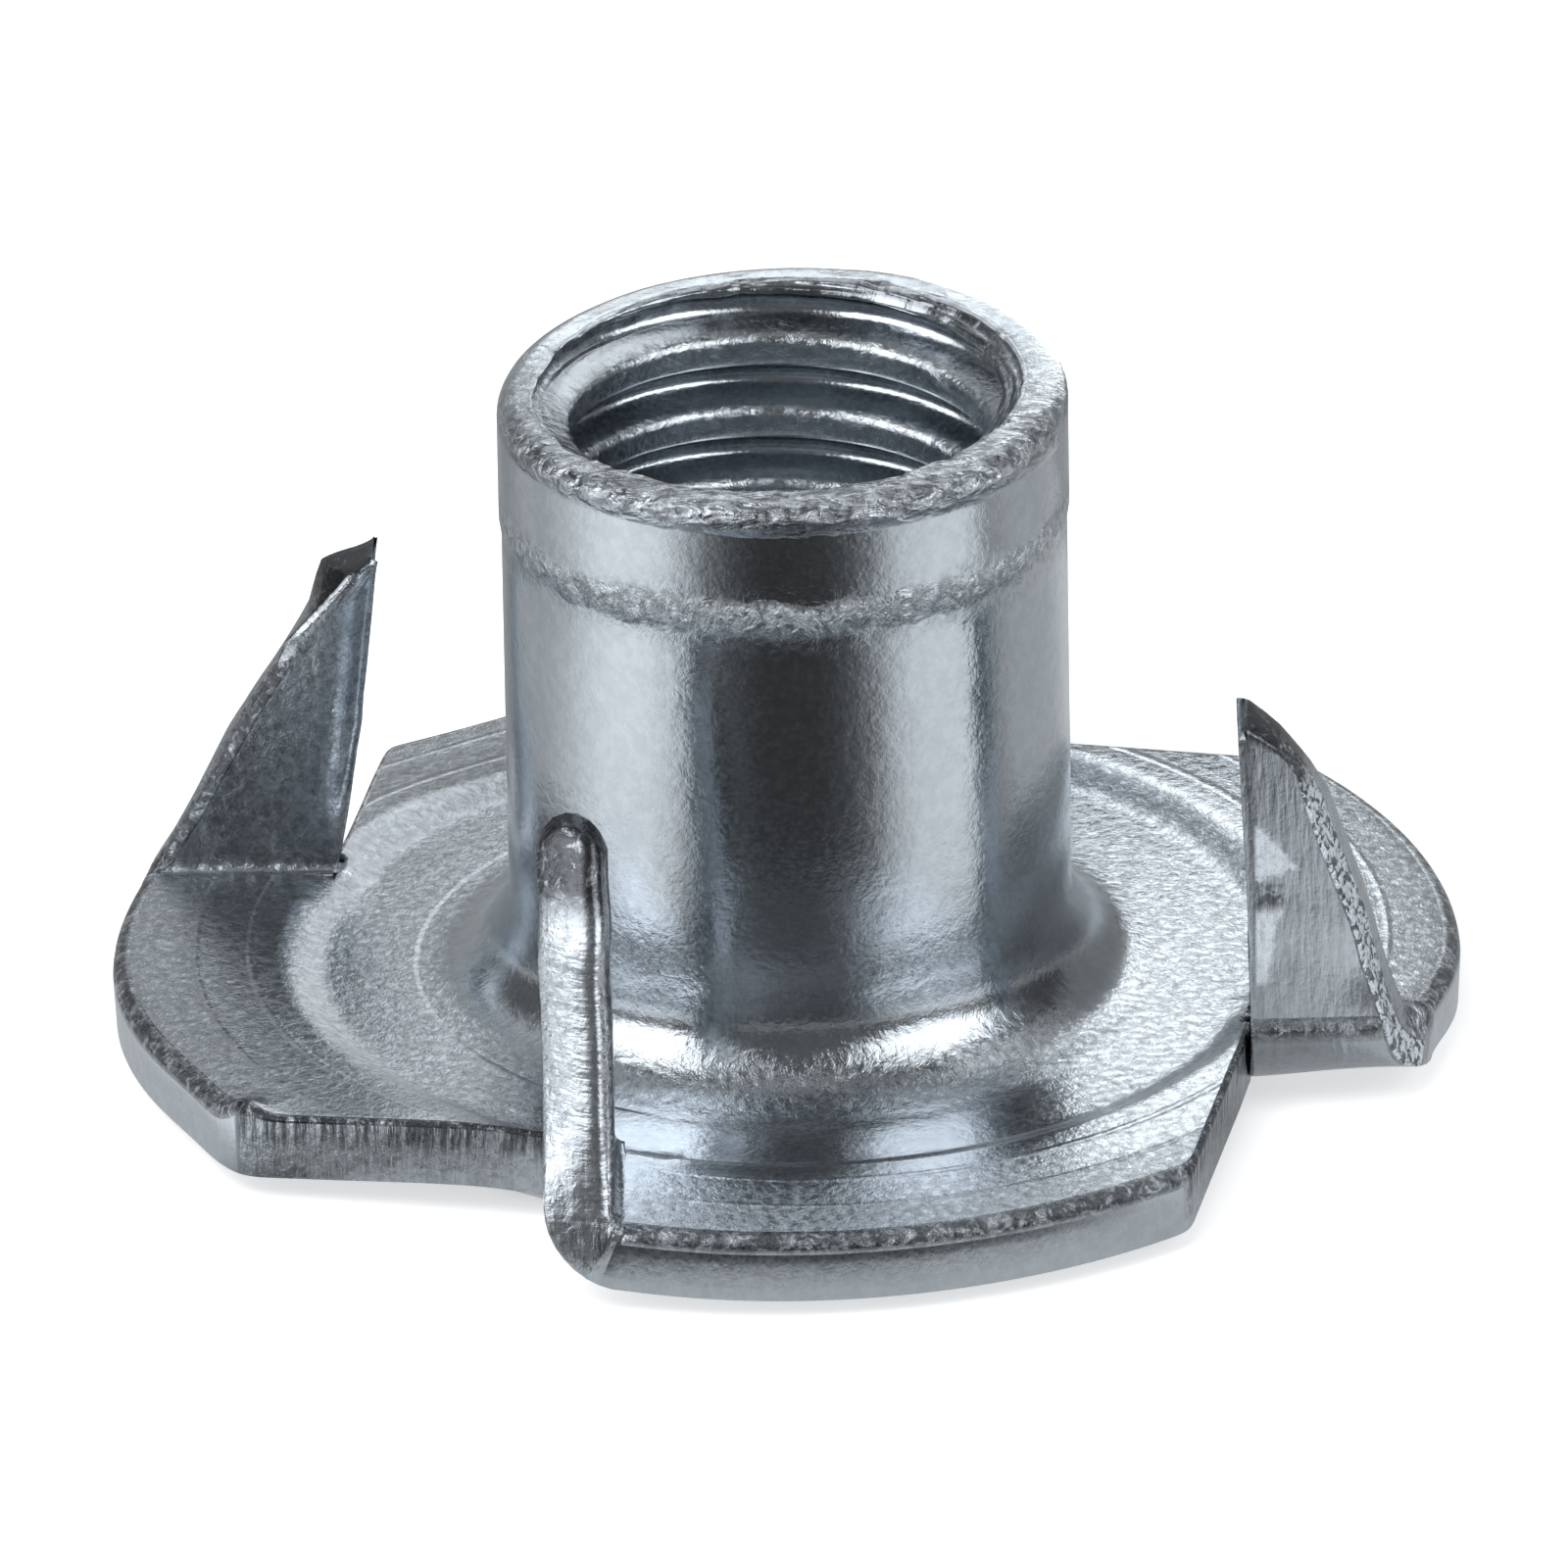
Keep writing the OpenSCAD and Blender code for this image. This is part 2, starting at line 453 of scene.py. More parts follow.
# %% Smooth the place where the dish runs into the inner end of the fold
SMOOTH_REACH = 0.9 * MM
SMOOTH_TIMES = 12
flat_points = read_points(quarter.data)
away = np.hypot(flat_points[:, 0] - FOLD_START, flat_points[:, 1] + BEND_Y)
smoothed = (away < SMOOTH_REACH) & (row < EDGE_FIRST) & (row > 0)
bpy.ops.object.mode_set(mode="EDIT")
bpy.ops.mesh.select_mode(type="VERT")
bpy.ops.mesh.select_all(action="DESELECT")
bpy.ops.object.mode_set(mode="OBJECT")
quarter.data.vertices.foreach_set("select", smoothed)
bpy.ops.object.mode_set(mode="EDIT")
bpy.ops.mesh.vertices_smooth(factor=0.5, repeat=SMOOTH_TIMES)
bpy.ops.object.mode_set(mode="OBJECT")
print(f"{smoothed.sum()} points smoothed")

# %% [markdown]
# ## A prong
#
# On the press a prong is bent up out of the sheet. Here the strip of edge along the fold is extruded
# and turned about the fold's axis, ten degrees at a time, and then extruded straight up. The blade is
# tapered afterwards by a formula, because its two edges lean by different amounts.

# %% Part the strip from the flange
make_active(quarter)
bpy.ops.object.mode_set(mode="EDIT")
bpy.ops.mesh.select_mode(type="FACE")
bpy.ops.mesh.select_all(action="DESELECT")
bpy.ops.object.mode_set(mode="OBJECT")
for face in quarter.data.polygons:
    corners = list(face.vertices)
    in_fold = all(FOLD_FIRST <= column[v] <= FOLD_LAST for v in corners)
    on_edge = all(EDGE_FIRST <= row[v] <= EDGE_LAST for v in corners)
    face.select = in_fold and on_edge
bpy.ops.object.mode_set(mode="EDIT")
bpy.ops.mesh.separate(type="SELECTED")
bpy.ops.object.mode_set(mode="OBJECT")
prong = next(thing for thing in bpy.context.selected_objects if thing != quarter)
print(f"{len(prong.data.polygons)} faces in the strip")

# %% Fold the strip up
FOLD_STEPS = 9
BLADE_STEPS = 22
PRONG_H = 7.2 * MM
TINY = 1e-7
make_active(prong)
bpy.ops.object.mode_set(mode="EDIT")
bpy.ops.mesh.select_all(action="SELECT")
for step in range(FOLD_STEPS):
    bpy.ops.mesh.extrude_region_move(TRANSFORM_OT_translate={"value": (0, 0, 0)})
    bpy.ops.transform.rotate(
        value=math.pi / 2 / FOLD_STEPS,
        orient_axis="X",
        center_override=(0, -BEND_Y, BEND_Z),
    )
for step in range(BLADE_STEPS):
    rise = (PRONG_H - BEND_Z) / BLADE_STEPS
    bpy.ops.mesh.extrude_region_move(TRANSFORM_OT_translate={"value": (0, 0, rise)})
bpy.ops.mesh.select_all(action="DESELECT")
bpy.ops.object.mode_set(mode="OBJECT")
prong_points = read_points(prong.data)
for face in prong.data.polygons:
    face.select = all(prong_points[v][1] > -BEND_Y - TINY for v in face.vertices)
bpy.ops.object.mode_set(mode="EDIT")
bpy.ops.mesh.delete(type="FACE")
bpy.ops.object.mode_set(mode="OBJECT")
print(f"prong reaches {read_points(prong.data)[:, 2].max() * 1000:.2f} mm")

# %% [markdown]
# ## Each prong as it came off the press
#
# The four prongs come from the same die, but the shear pulls each one a little differently. So each has
# its own small tables: where its outer edge lies at each height on its inner and outer face, where the
# edge beside the barrel lies, and how high its tip reaches across its width. The other numbers say how
# far the shear rolled, waved or rounded the edges, how far the prong is twisted, how rough its torn
# edge is and how brightly a glint is painted on it, and where it is dented: place, height, reach and
# depth. All lengths are in millimetres.

# %% The shapes of the four prongs
PRONG_LOOKS = [
    {
        "inner_face": [(1.5, 10.24), (3.1, 9.6), (5.59, 8.8), (6.89, 7.86), (7.3, 7.56)],
        "outer_face": [(1.5, 9.8), (2.5, 9.56), (3.5, 9.28), (4.67, 8.86), (5.39, 8.62),
                       (6.28, 8.4), (7.02, 7.82), (7.3, 7.7)],
        "barrel_side": [(1.5, 7.54), (4.0, 7.5), (5.6, 7.42), (7.1, 7.36)],
        "top": [(0.0, 7.14), (0.25, 7.25), (0.5, 7.2), (0.75, 7.02), (1.0, 6.72)],
        "far_top": [(0.0, 7.08), (0.3, 7.17), (0.6, 7.06), (1.0, 6.76)],
        "roll": 0.04, "burr": 0.03, "wave": 0.012, "round": 0.1, "apex": 0.5,
        "tip_round": 0.1, "twist": 0.11, "glitter": 0.7, "dents": [(8.6, 2.6, 0.5, -0.04)],
    },
    {
        "inner_face": [(1.5, 10.4), (3.1, 9.7), (5.59, 8.7), (6.9, 7.9), (7.3, 7.8)],
        "outer_face": [(1.5, 9.9), (3.5, 9.2), (4.67, 8.8), (6.3, 8.2), (7.1, 7.8)],
        "barrel_side": [(1.5, 7.5), (4.0, 7.4), (7.1, 7.15)],
        "top": [(0.0, 7.1), (0.3, 7.18), (0.7, 7.0), (1.0, 6.7)],
        "far_top": [(0.0, 7.1), (0.3, 7.15), (0.7, 6.95), (1.0, 6.6)],
        "roll": 0.14, "burr": 0.03, "wave": 0.012, "round": 0.12, "apex": 0.5,
        "tip_round": 0.1, "twist": 0.0, "glitter": 0.4, "dents": [(8.2, 3.0, 0.5, 0.04)],
    },
    {
        "inner_face": [(1.5, 10.5), (2.49, 9.93), (4.2, 9.05), (5.61, 8.2), (6.2, 7.66),
                       (6.67, 7.16), (6.95, 6.92)],
        "outer_face": [(1.2, 10.48), (1.93, 10.02), (3.74, 9.19), (5.45, 8.1), (5.92, 7.88),
                       (6.23, 7.83), (6.56, 7.72), (6.9, 7.5)],
        "barrel_side": [(1.6, 7.5), (2.44, 7.34), (3.9, 7.11), (5.68, 6.92), (7.0, 6.77)],
        "top": [(0.0, 6.93), (0.3, 6.9), (1.0, 6.74)],
        "far_top": [(0.0, 6.99), (0.5, 6.78), (1.0, 6.56)],
        "roll": 0.26, "burr": 0.08, "wave": 0.014, "round": 0.05, "apex": 0.5,
        "tip_round": 0.0, "twist": 0.0, "glitter": 0.4, "dents": [(8.4, 3.4, 0.6, 0.05)],
    },
    {
        "inner_face": [(1.5, 10.5), (3.1, 9.75), (5.59, 8.55), (6.9, 7.6), (7.3, 7.3)],
        "outer_face": [(1.5, 10.4), (3.1, 9.65), (5.59, 8.45), (6.9, 7.5), (7.3, 7.2)],
        "barrel_side": [(1.5, 7.5), (4.0, 7.25), (7.1, 6.75)],
        "top": [(0.0, 7.1), (0.4, 7.16), (1.0, 7.02)],
        "far_top": [(0.0, 7.1), (0.4, 7.16), (1.0, 7.02)],
        "roll": 0.14, "burr": 0.0, "wave": 0.03, "round": 0.42, "apex": 0.3,
        "tip_round": 0.5, "twist": 0.0, "glitter": 0.45, "dents": [(8.2, 3.0, 0.5, 0.04)],
    },
]
print(f"{len(PRONG_LOOKS)} prongs described")

# %% What all prongs share
CROWDING = 0.7
SETTLED_AT = 0.25
TIP_POWER = 2.5
FAR_POWER = 1.3
NEAR_SHARE = 0.5
BURR_STEP = 0.2
BURR_BASE = 0.4
BURR_DEPTH = 0.12
BURR_STARTS = 5.1
BURR_FULL = 5.6
WAVE_STEP = 0.45
LEAN_STEP = 0.7
DRAWN_REACH = 2.2
DRAWN_DEPTH = 0.45
BACK_SHARE = 0.4
BACK_DEPTH = 0.95
DENT_SQUAT = 0.7
CORNER_DEPTH = 0.05
CORNER_TOP = 5.2
CORNER_ACROSS = 0.99
BENT_UP = 0.3
TORN_FROM = 0.5
SAMPLE_H = 3.0


def table(pairs, place):
    known, values = np.array(pairs).T
    return np.interp(place, known, values)


first_look = PRONG_LOOKS[0]
width = table(first_look["inner_face"], SAMPLE_H) - table(first_look["barrel_side"], SAMPLE_H)
print(f"the first prong is {width:.2f} mm wide {SAMPLE_H:.0f} mm up")


# %% How a prong is shaped from its tables
def shape_prong(thing, look, seed):
    """Moves a straight-sided prong's points to the outline in its tables."""
    across = read_values(thing.data, "across")
    depth = read_values(thing.data, "depth")
    x, y, z = read_points(thing.data).T.copy()
    in_blade = z > BEND_Z - TINY
    bent = np.where(in_blade, 1.0, np.arctan2(-y - BEND_Y, BEND_Z - z) / (math.pi / 2))
    climb = np.clip((z - BEND_Z) / (PRONG_H - BEND_Z), 0, 1)
    settled = smoothstep(0.0, SETTLED_AT, climb)
    spread = lerp(across, (1 - np.cos(np.pi * across)) / 2, CROWDING)
    top = lerp(table(look["top"], across), table(look["far_top"], across), depth) * MM
    top -= look["tip_round"] * MM * np.abs(2 * depth - 1) ** TIP_POWER
    new_z = np.where(in_blade, BEND_Z + climb * (top - BEND_Z), z)
    height = new_z / MM
    outer = lerp(table(look["inner_face"], height), table(look["outer_face"], height), depth)
    inner = table(look["barrel_side"], height)
    rolled_back = x - lerp(FOLD_START, FOLD_END, across)
    table_x = lerp(inner, outer, spread) * MM + rolled_back
    # The sheared edge stands proud at its apex and falls away towards both faces.
    apex = look["apex"]
    far_side = np.clip((depth - apex) / (1 - apex), 0, 1) ** FAR_POWER
    near_side = NEAR_SHARE * np.clip((apex - depth) / apex, 0, 1) ** 2
    edge_bulge = look["round"] * MM * (far_side + near_side) * spread * settled
    burr = BURR_BASE + np.abs(ragged(height, BURR_STEP, seed))
    burr *= (across == 1) * (depth < BURR_DEPTH)
    burr *= smoothstep(BURR_STARTS, BURR_FULL, height)
    wave = ragged(height, WAVE_STEP, seed + 1) * look["wave"] * MM * settled
    new_x = lerp(x, table_x - edge_bulge + wave, smoothstep(0, 1, bent))
    new_x += look["burr"] * burr * MM * settled
    # The shear drew the edge beside the barrel round.
    from_inner = np.clip((new_x - inner * MM) / (DRAWN_REACH * look["roll"] * MM), 0, 1)
    rounding = look["roll"] * MM * (1 - from_inner) ** 2 * settled
    at_back = depth > BACK_DEPTH
    new_y = y - rounding * smoothstep(DRAWN_DEPTH, 0.0, depth) + BACK_SHARE * rounding * at_back
    new_y += look["twist"] * (new_x - FOLD_START) * settled
    for dent_x, dent_z, reach, sunk in look["dents"]:
        off = np.hypot(new_x / MM - dent_x, (height - dent_z) * DENT_SQUAT) / reach
        new_y += sunk * MM * np.exp(-(off**2)) * at_back * settled
    new_y += ragged(height, LEAN_STEP, seed + 2) * look["wave"] * MM * settled
    write_points(thing.data, np.column_stack([new_x, new_y, new_z]))
    # Only the shorn edge and the tip are left rough.
    past_fold = bent > BENT_UP
    on_edge = (across == 1) & past_fold
    at_tip = (climb == 1) & past_fold
    at_corner = (across >= CORNER_ACROSS) & past_fold
    at_corner &= (depth <= CORNER_DEPTH) & (height < CORNER_TOP)
    crease = at_back & (climb == 0) & in_blade
    marks = {
        "sheared": (on_edge | at_tip) & (depth > CORNER_DEPTH),
        "rolled": at_corner | crease,
        "prong": smoothstep(0.2, 1.0, bent),
        # The torn edge's share also sets how strongly a glint is painted on it.
        "glitter": (on_edge & (depth > TORN_FROM)) * look["glitter"],
    }
    for name, values in marks.items():
        write_values(thing.data, name, values)


print(f"prongs are shaped above {BEND_Z / MM:.2f} mm")

# %% [markdown]
# ## Four lobes
#
# The flat quarter and the straight prong are copied four times. Each prong is shaped, joined to its
# lobe, and the lobe is turned to its place. Its columns end on the same points as the next one's.

# %% Shape the prongs and copy the lobes round the axis
quarters = []
for turn in range(PRONGS):
    twin = quarter.copy()
    twin.data = quarter.data.copy()
    blade = prong.copy()
    blade.data = prong.data.copy()
    bpy.context.scene.collection.objects.link(twin)
    bpy.context.scene.collection.objects.link(blade)
    shape_prong(blade, PRONG_LOOKS[turn], seed=10 * turn)
    make_active(twin)
    blade.select_set(True)
    bpy.ops.object.join()
    twin.data.transform(Matrix.Rotation(turn * 2 * math.pi / PRONGS, 4, "Z"))
    quarters.append(twin)
bpy.data.objects.remove(quarter)
bpy.data.objects.remove(prong)
print(f"{len(quarters)} lobes, {len(quarters[0].data.polygons)} faces each")

# %% [markdown]
# ## The barrel
#
# The barrel is a turned shape, so half of its section is drawn as a line of points and spun round the
# axis. The line starts on the dish's floor, climbs the root and the barrel, goes over the mouth, down
# the bore, and ends on the face that the nut rests on.

# %% Sizes of the barrel
MOUTH_R = 3.9 * MM
MOUTH_ROUND = 0.35 * MM
LAND_H = 2.1 * MM
LAND_R = BARREL_R + 0.04 * MM
PITCH = 1.25 * MM
ENTRY_R = ROOT_X - BORE_R
FINE_TURNS = 3.2
FINE_STEPS = 16
COARSE_STEPS = 8
LAND_STEP_H = 0.25 * MM
SOFT_ROOT_R = 1.52 * MM
SOFT_POWER = 2.4
STEPS = {
    "floor": 7, "root": 16, "barrel": 11, "shoulder": 3, "land": 6, "lip": 7, "rim": 3,
    "countersink": 8, "entry": 16, "under": 2,
}
print(f"barrel {BARREL_R / MM:.2f} mm in radius, its root {SOFT_ROOT_R / MM:.2f} mm")


# %% Lines and curves of a section
def straight(start, end, steps):
    """Points from start to end, without the first."""
    start, end = np.array(start), np.array(end)
    return [tuple(lerp(start, end, i / steps)) for i in range(1, steps + 1)]


def arc(centre, radius, start, end, steps):
    """Points of an arc in degrees, without the first."""
    angles = [math.radians(lerp(start, end, i / steps)) for i in range(1, steps + 1)]
    x, z = centre
    return [(x + radius * math.cos(a), z + radius * math.sin(a)) for a in angles]


def soft_corner(corner, reach, steps):
    """A fillet whose curvature fades in and out, so that no line shows where it starts."""
    made = []
    for i in range(1, steps + 1):
        angle = math.pi / 2 * i / steps
        out = reach * (1 - math.sin(angle) ** (2 / SOFT_POWER))
        rise = reach * (1 - max(math.cos(angle), 0.0) ** (2 / SOFT_POWER))
        made.append((corner[0] + out, corner[1] + rise))
    return made


print(f"{len(soft_corner((0, 0), MM, 4))} points in a fillet of four steps")

# %% The section of the barrel
chamfer = MOUTH_R - BORE_R
thread_top = TOTAL_H - chamfer
fine_end = thread_top - FINE_TURNS * PITCH
fine_steps = round(FINE_TURNS * FINE_STEPS)
coarse_steps = round((fine_end - ENTRY_R) / PITCH * COARSE_STEPS)
lip_centre = (LAND_R - MOUTH_ROUND, TOTAL_H - MOUTH_ROUND)
land_foot = TOTAL_H - LAND_H
section = [(JOIN_R, SHEET)]
section += straight(section[-1], (BARREL_R + SOFT_ROOT_R, SHEET), STEPS["floor"])
section += soft_corner((BARREL_R, SHEET), SOFT_ROOT_R, STEPS["root"])
section += straight(section[-1], (BARREL_R, land_foot - LAND_STEP_H), STEPS["barrel"])
section += straight(section[-1], (LAND_R, land_foot), STEPS["shoulder"])
section += straight(section[-1], (LAND_R, TOTAL_H - MOUTH_ROUND), STEPS["land"])
section += arc(lip_centre, MOUTH_ROUND, 0, 90, STEPS["lip"])
section += straight(section[-1], (MOUTH_R, TOTAL_H), STEPS["rim"])
section += straight(section[-1], (BORE_R, thread_top), STEPS["countersink"])
section += straight(section[-1], (BORE_R, fine_end), fine_steps)
section += straight(section[-1], (BORE_R, ENTRY_R), coarse_steps)
section += arc((ROOT_X, ENTRY_R), ENTRY_R, 180, 270, STEPS["entry"])
section += straight(section[-1], (JOIN_R, 0.0), STEPS["under"])
print(f"{len(section)} points in the section")

# %% Spin the section
SPIN_MERGE = 0.0004 * MM
ALL_COLUMNS = QUARTER_COLUMNS * PRONGS
deselect_all()
bpy.ops.mesh.primitive_plane_add(size=MM)
barrel = bpy.context.active_object
bpy.ops.object.mode_set(mode="EDIT")
bpy.ops.mesh.select_mode(type="VERT")
bpy.ops.mesh.select_all(action="SELECT")
bpy.ops.mesh.merge(type="CENTER")
bpy.ops.transform.translate(value=(section[0][0], 0, section[0][1]))
for start, end in zip(section, section[1:]):
    step = (end[0] - start[0], 0, end[1] - start[1])
    bpy.ops.mesh.extrude_region_move(TRANSFORM_OT_translate={"value": step})
bpy.ops.mesh.select_all(action="SELECT")
bpy.ops.mesh.spin(steps=ALL_COLUMNS, angle=2 * math.pi, center=(0, 0, 0), axis=(0, 0, 1))
bpy.ops.mesh.select_all(action="SELECT")
bpy.ops.mesh.remove_doubles(threshold=SPIN_MERGE)
bpy.ops.object.mode_set(mode="OBJECT")
print(f"{len(barrel.data.vertices)} points, {len(section) * ALL_COLUMNS} expected")

# %% [markdown]
# ## The thread
#
# A tap cuts a helical groove into the bore. The bore's points are pushed out into that groove: at each
# height the groove comes round once every turn, and rises by one pitch as it does. The columns are
# first slid round the axis to match those of the flange.

# %% Slide the columns, then cut the thread
GROOVE_R = 4.02 * MM
GROOVE_SOFT = 0.65
CREST_W = 0.36 * MM
ROOT_W = 0.16 * MM
FIRST_CREST = TOTAL_H - 1.07 * MM
THREAD_START = 1.0 * MM
HAIR = 1e-8
points = read_points(barrel.data)
radius = np.hypot(points[:, 0], points[:, 1])
even_step = 2 * math.pi / ALL_COLUMNS
turned = np.arctan2(points[:, 1], points[:, 0])
column_index = np.rint(turned / even_step).astype(int) % ALL_COLUMNS
all_angles = np.concatenate([column_angles[:-1] + q * math.pi / 2 for q in range(PRONGS)])
turned = all_angles[column_index]
height = points[:, 2]
inside = (radius < MOUTH_R - HAIR) & (height > THREAD_START)
crest_z = FIRST_CREST + PITCH * (turned - math.pi / 2) / (2 * math.pi)
phase = np.abs((height - crest_z) / PITCH % 1.0 - 0.5) * 2
# phase is 1 on a crest and 0 in the middle of the groove
crest_share = 1 - CREST_W / PITCH
root_share = ROOT_W / PITCH
cut = 1 - np.clip((phase - root_share) / (crest_share - root_share), 0, 1)
cut = cut * (1 - GROOVE_SOFT) + GROOVE_SOFT * cut * cut * (3 - 2 * cut)
groove = BORE_R + (GROOVE_R - BORE_R) * cut
radius = np.where(inside, np.maximum(radius, groove), radius)
print(f"thread from {BORE_R * 1000:.2f} to {GROOVE_R * 1000:.2f} mm, pitch {PITCH * 1000:.2f}")

# %% Leave the lip wavy, and the mouth a little higher at the back
MOUTH_TILT = 0.2 * MM
TILT_START = 6.5 * MM
LIP_WAVE = 0.05 * MM
LIP_OPEN = 0.06 * MM
LIP_DROP = 0.02 * MM
LIP_H = 0.5 * MM
LIP_W = 0.2 * MM
LIP_EDGE = 0.05 * MM
LONG_WAVE, LONG_SHARE = 0.55, 0.6
SHORT_WAVE, SHORT_SHARE = 0.17, 0.4
DROP_WAVE = 0.4
lip = smoothstep(TOTAL_H - LIP_H, TOTAL_H - LIP_EDGE, height)
lip_inside = lip * (radius < MOUTH_R + LIP_W)
bearing_mm = turned * MOUTH_R / MM
waves = ragged(bearing_mm, LONG_WAVE, 71) * LONG_SHARE
waves += ragged(bearing_mm, SHORT_WAVE, 72) * SHORT_SHARE
radius += LIP_WAVE * waves * lip_inside + LIP_OPEN * lip_inside
high_at_back = (1 + points[:, 1] / MOUTH_R) / 2
points[:, 2] += MOUTH_TILT * high_at_back * smoothstep(TILT_START, TOTAL_H, height)
points[:, 2] += LIP_DROP * ragged(bearing_mm, DROP_WAVE, 73) * lip_inside
points[:, 0] = radius * np.cos(turned)
points[:, 1] = radius * np.sin(turned)
write_points(barrel.data, points)
print(f"the lip reaches {points[:, 2].max() * 1000:.2f} mm")

# %% [markdown]
# ## One closed mesh
#
# The real nut is one piece of steel, so the lobes and the barrel are joined and their shared points
# merged. A closed mesh has exactly two faces at every edge, and that is counted here.

# %% Join and merge
MERGE_WITHIN = 0.0006 * MM
make_active(barrel)
for lobe in quarters:
    lobe.select_set(True)
bpy.ops.object.join()
nut = bpy.context.active_object
nut.name = "zinc_plated_tee_nut"
bpy.ops.object.mode_set(mode="EDIT")
bpy.ops.mesh.select_all(action="SELECT")
bpy.ops.mesh.remove_doubles(threshold=MERGE_WITHIN)
bpy.ops.mesh.normals_make_consistent(inside=False)
bpy.ops.mesh.select_all(action="DESELECT")
bpy.ops.mesh.select_mode(type="VERT")
bpy.ops.mesh.select_non_manifold()
bpy.ops.object.mode_set(mode="OBJECT")
open_points = sum(v.select for v in nut.data.vertices)
print(f"{open_points} open points")

# %% [markdown]
# ## Lobes knocked out of true
#
# Tumbling in the plating barrel, and the pull of the bending die, leave the thin lobes a few tenths of
# a millimetre out of place. Each nudge moves one area of the flange, and fades out smoothly around it.

# %% Nudge the lobes
NUDGES = [
    {"at": (-5.2, -8.0), "spread": 2.6, "move": (0.0, 0.0, 0.27), "fade": (20, 30)},
    {"at": (-10.6, -1.5), "spread": 2.4, "move": (-0.2, 0.0, 0.0), "fade": (2, 5)},
    {"at": (-6.2, 8.4), "spread": 1.8, "move": (-0.22, -0.3, -0.16), "fade": (3, 6)},
    {"at": (-4.2, 9.8), "spread": 2.0, "move": (0.0, -0.3, -0.2), "fade": (3, 6)},
    {"at": (-8.9, -6.2), "spread": 0.9, "move": (-0.32, 0.1, 0.0), "fade": (3, 6)},
    {"at": (10.4, -2.8), "spread": 1.0, "move": (-0.2, 0.12, 0.0), "fade": (2, 4)},
    {"at": (9.5, -2.4), "spread": 1.0, "move": (0.0, 0.0, 0.22), "fade": (0.4, 1.0)},
]
FREE_W = 1.5 * MM
points = read_points(nut.data)
radius = np.hypot(points[:, 0], points[:, 1])
free = smoothstep(JOIN_R, JOIN_R + FREE_W, radius)
moved = points.copy()
for nudge in NUDGES:
    away = np.linalg.norm(points[:, :2] / MM - nudge["at"], axis=1) / nudge["spread"]
    weight = np.exp(-(away**2) / 2) * free
    weight *= 1 - smoothstep(*nudge["fade"], points[:, 2] / MM)
    moved += weight[:, None] * np.array(nudge["move"]) * MM
# A curl of metal stands up where the front cut left the rim.
CURL = (-8.95, -6.2)
CURL_REACH = 0.34
CURL_FROM, CURL_FULL = 0.7, 1.4
CURL_H = 0.24 * MM
away = np.linalg.norm(moved[:, :2] / MM - CURL, axis=1) / CURL_REACH
above = smoothstep(CURL_FROM, CURL_FULL, moved[:, 2] / MM)
moved[:, 2] += CURL_H * np.exp(-(away**2)) * above
write_points(nut.data, moved)
bpy.ops.object.shade_smooth()
triangles = sum(len(f.vertices) - 2 for f in nut.data.polygons)
farthest = np.abs(moved - points).max() * 1000
print(f"{triangles} triangles, none moved more than {farthest:.2f} mm")

# %% [markdown]
# ## Zinc plate
#
# Bright zinc on steel is a grey metal with a cool cast. It is never a mirror: the plate has a fine
# grain like orange peel, which breaks up every reflection. One material covers the whole nut, as one
# bath of zinc does, and masks tell it where each tool has been. Small helpers add the nodes, so that
# the recipe below reads like a list.

# %% Start the material, with helpers for its nodes
zinc = bpy.data.materials.new("bright_zinc_plate")
zinc.use_nodes = True
nodes = zinc.node_tree.nodes
links = zinc.node_tree.links
shader = nodes["Principled BSDF"]
place = nodes.new("ShaderNodeTexCoord").outputs["Object"]


def link_or_set(socket, value):
    if isinstance(value, (int, float, tuple)):
        socket.default_value = value
    else:
        socket.id_data.links.new(value, socket)


def maths(tree, operation, *values):
    """A Math node's result. Each value may be a number or another node's socket."""
    node = tree.nodes.new("ShaderNodeMath")
    node.operation = operation
    for socket, value in zip(node.inputs, values):
        link_or_set(socket, value)
    return node.outputs[0]


def remap(value, from_low, from_high, to_low=0.0, to_high=1.0):
    """A soft step from one number to another as the value passes through a range."""
    step = value.id_data.nodes.new("ShaderNodeMapRange")
    step.interpolation_type = "SMOOTHSTEP"
    numbers = {
        "From Min": from_low, "From Max": from_high, "To Min": to_low, "To Max": to_high
    }
    for name, number in numbers.items():
        step.inputs[name].default_value = number
    link_or_set(step.inputs["Value"], value)
    return step.outputs["Result"]


def combine(operation, first, second):
    return maths(zinc.node_tree, operation, first, second)


def product(first, *others):
    """Patterns multiplied together, which show only where all of them do."""
    result = first
    for pattern in others:
        result = combine("MULTIPLY", result, pattern)
    return result


def total(*parts):
    """The sum of several (pattern, amount) pairs."""
    result = 0.0
    for pattern, amount in parts:
        result = combine("ADD", product(pattern, amount), result)
    return result


print(f"{zinc.name} starts with {len(nodes)} nodes")

# %% [markdown]
# ## Patterns in the metal
#
# Noise stands for everything that happened by chance. Its scale says how fine it is: 1000 gives
# features about a millimetre across. Stretching it along one direction gives streaks, as a shear or a
# tap leaves, and distortion curls it, as torn metal is.

# %% Noise of each kind
PLAIN = (1, 1, 1)
STREAKS_UP = (1, 1, 0.1)
BRUSHED_UP = (1, 1, 0.14)
STREAKS_LEVEL = (0.15, 0.15, 1)
LINES_ROUND = (0.06, 0.06, 1)
BITES = (0.5, 1, 1.6)


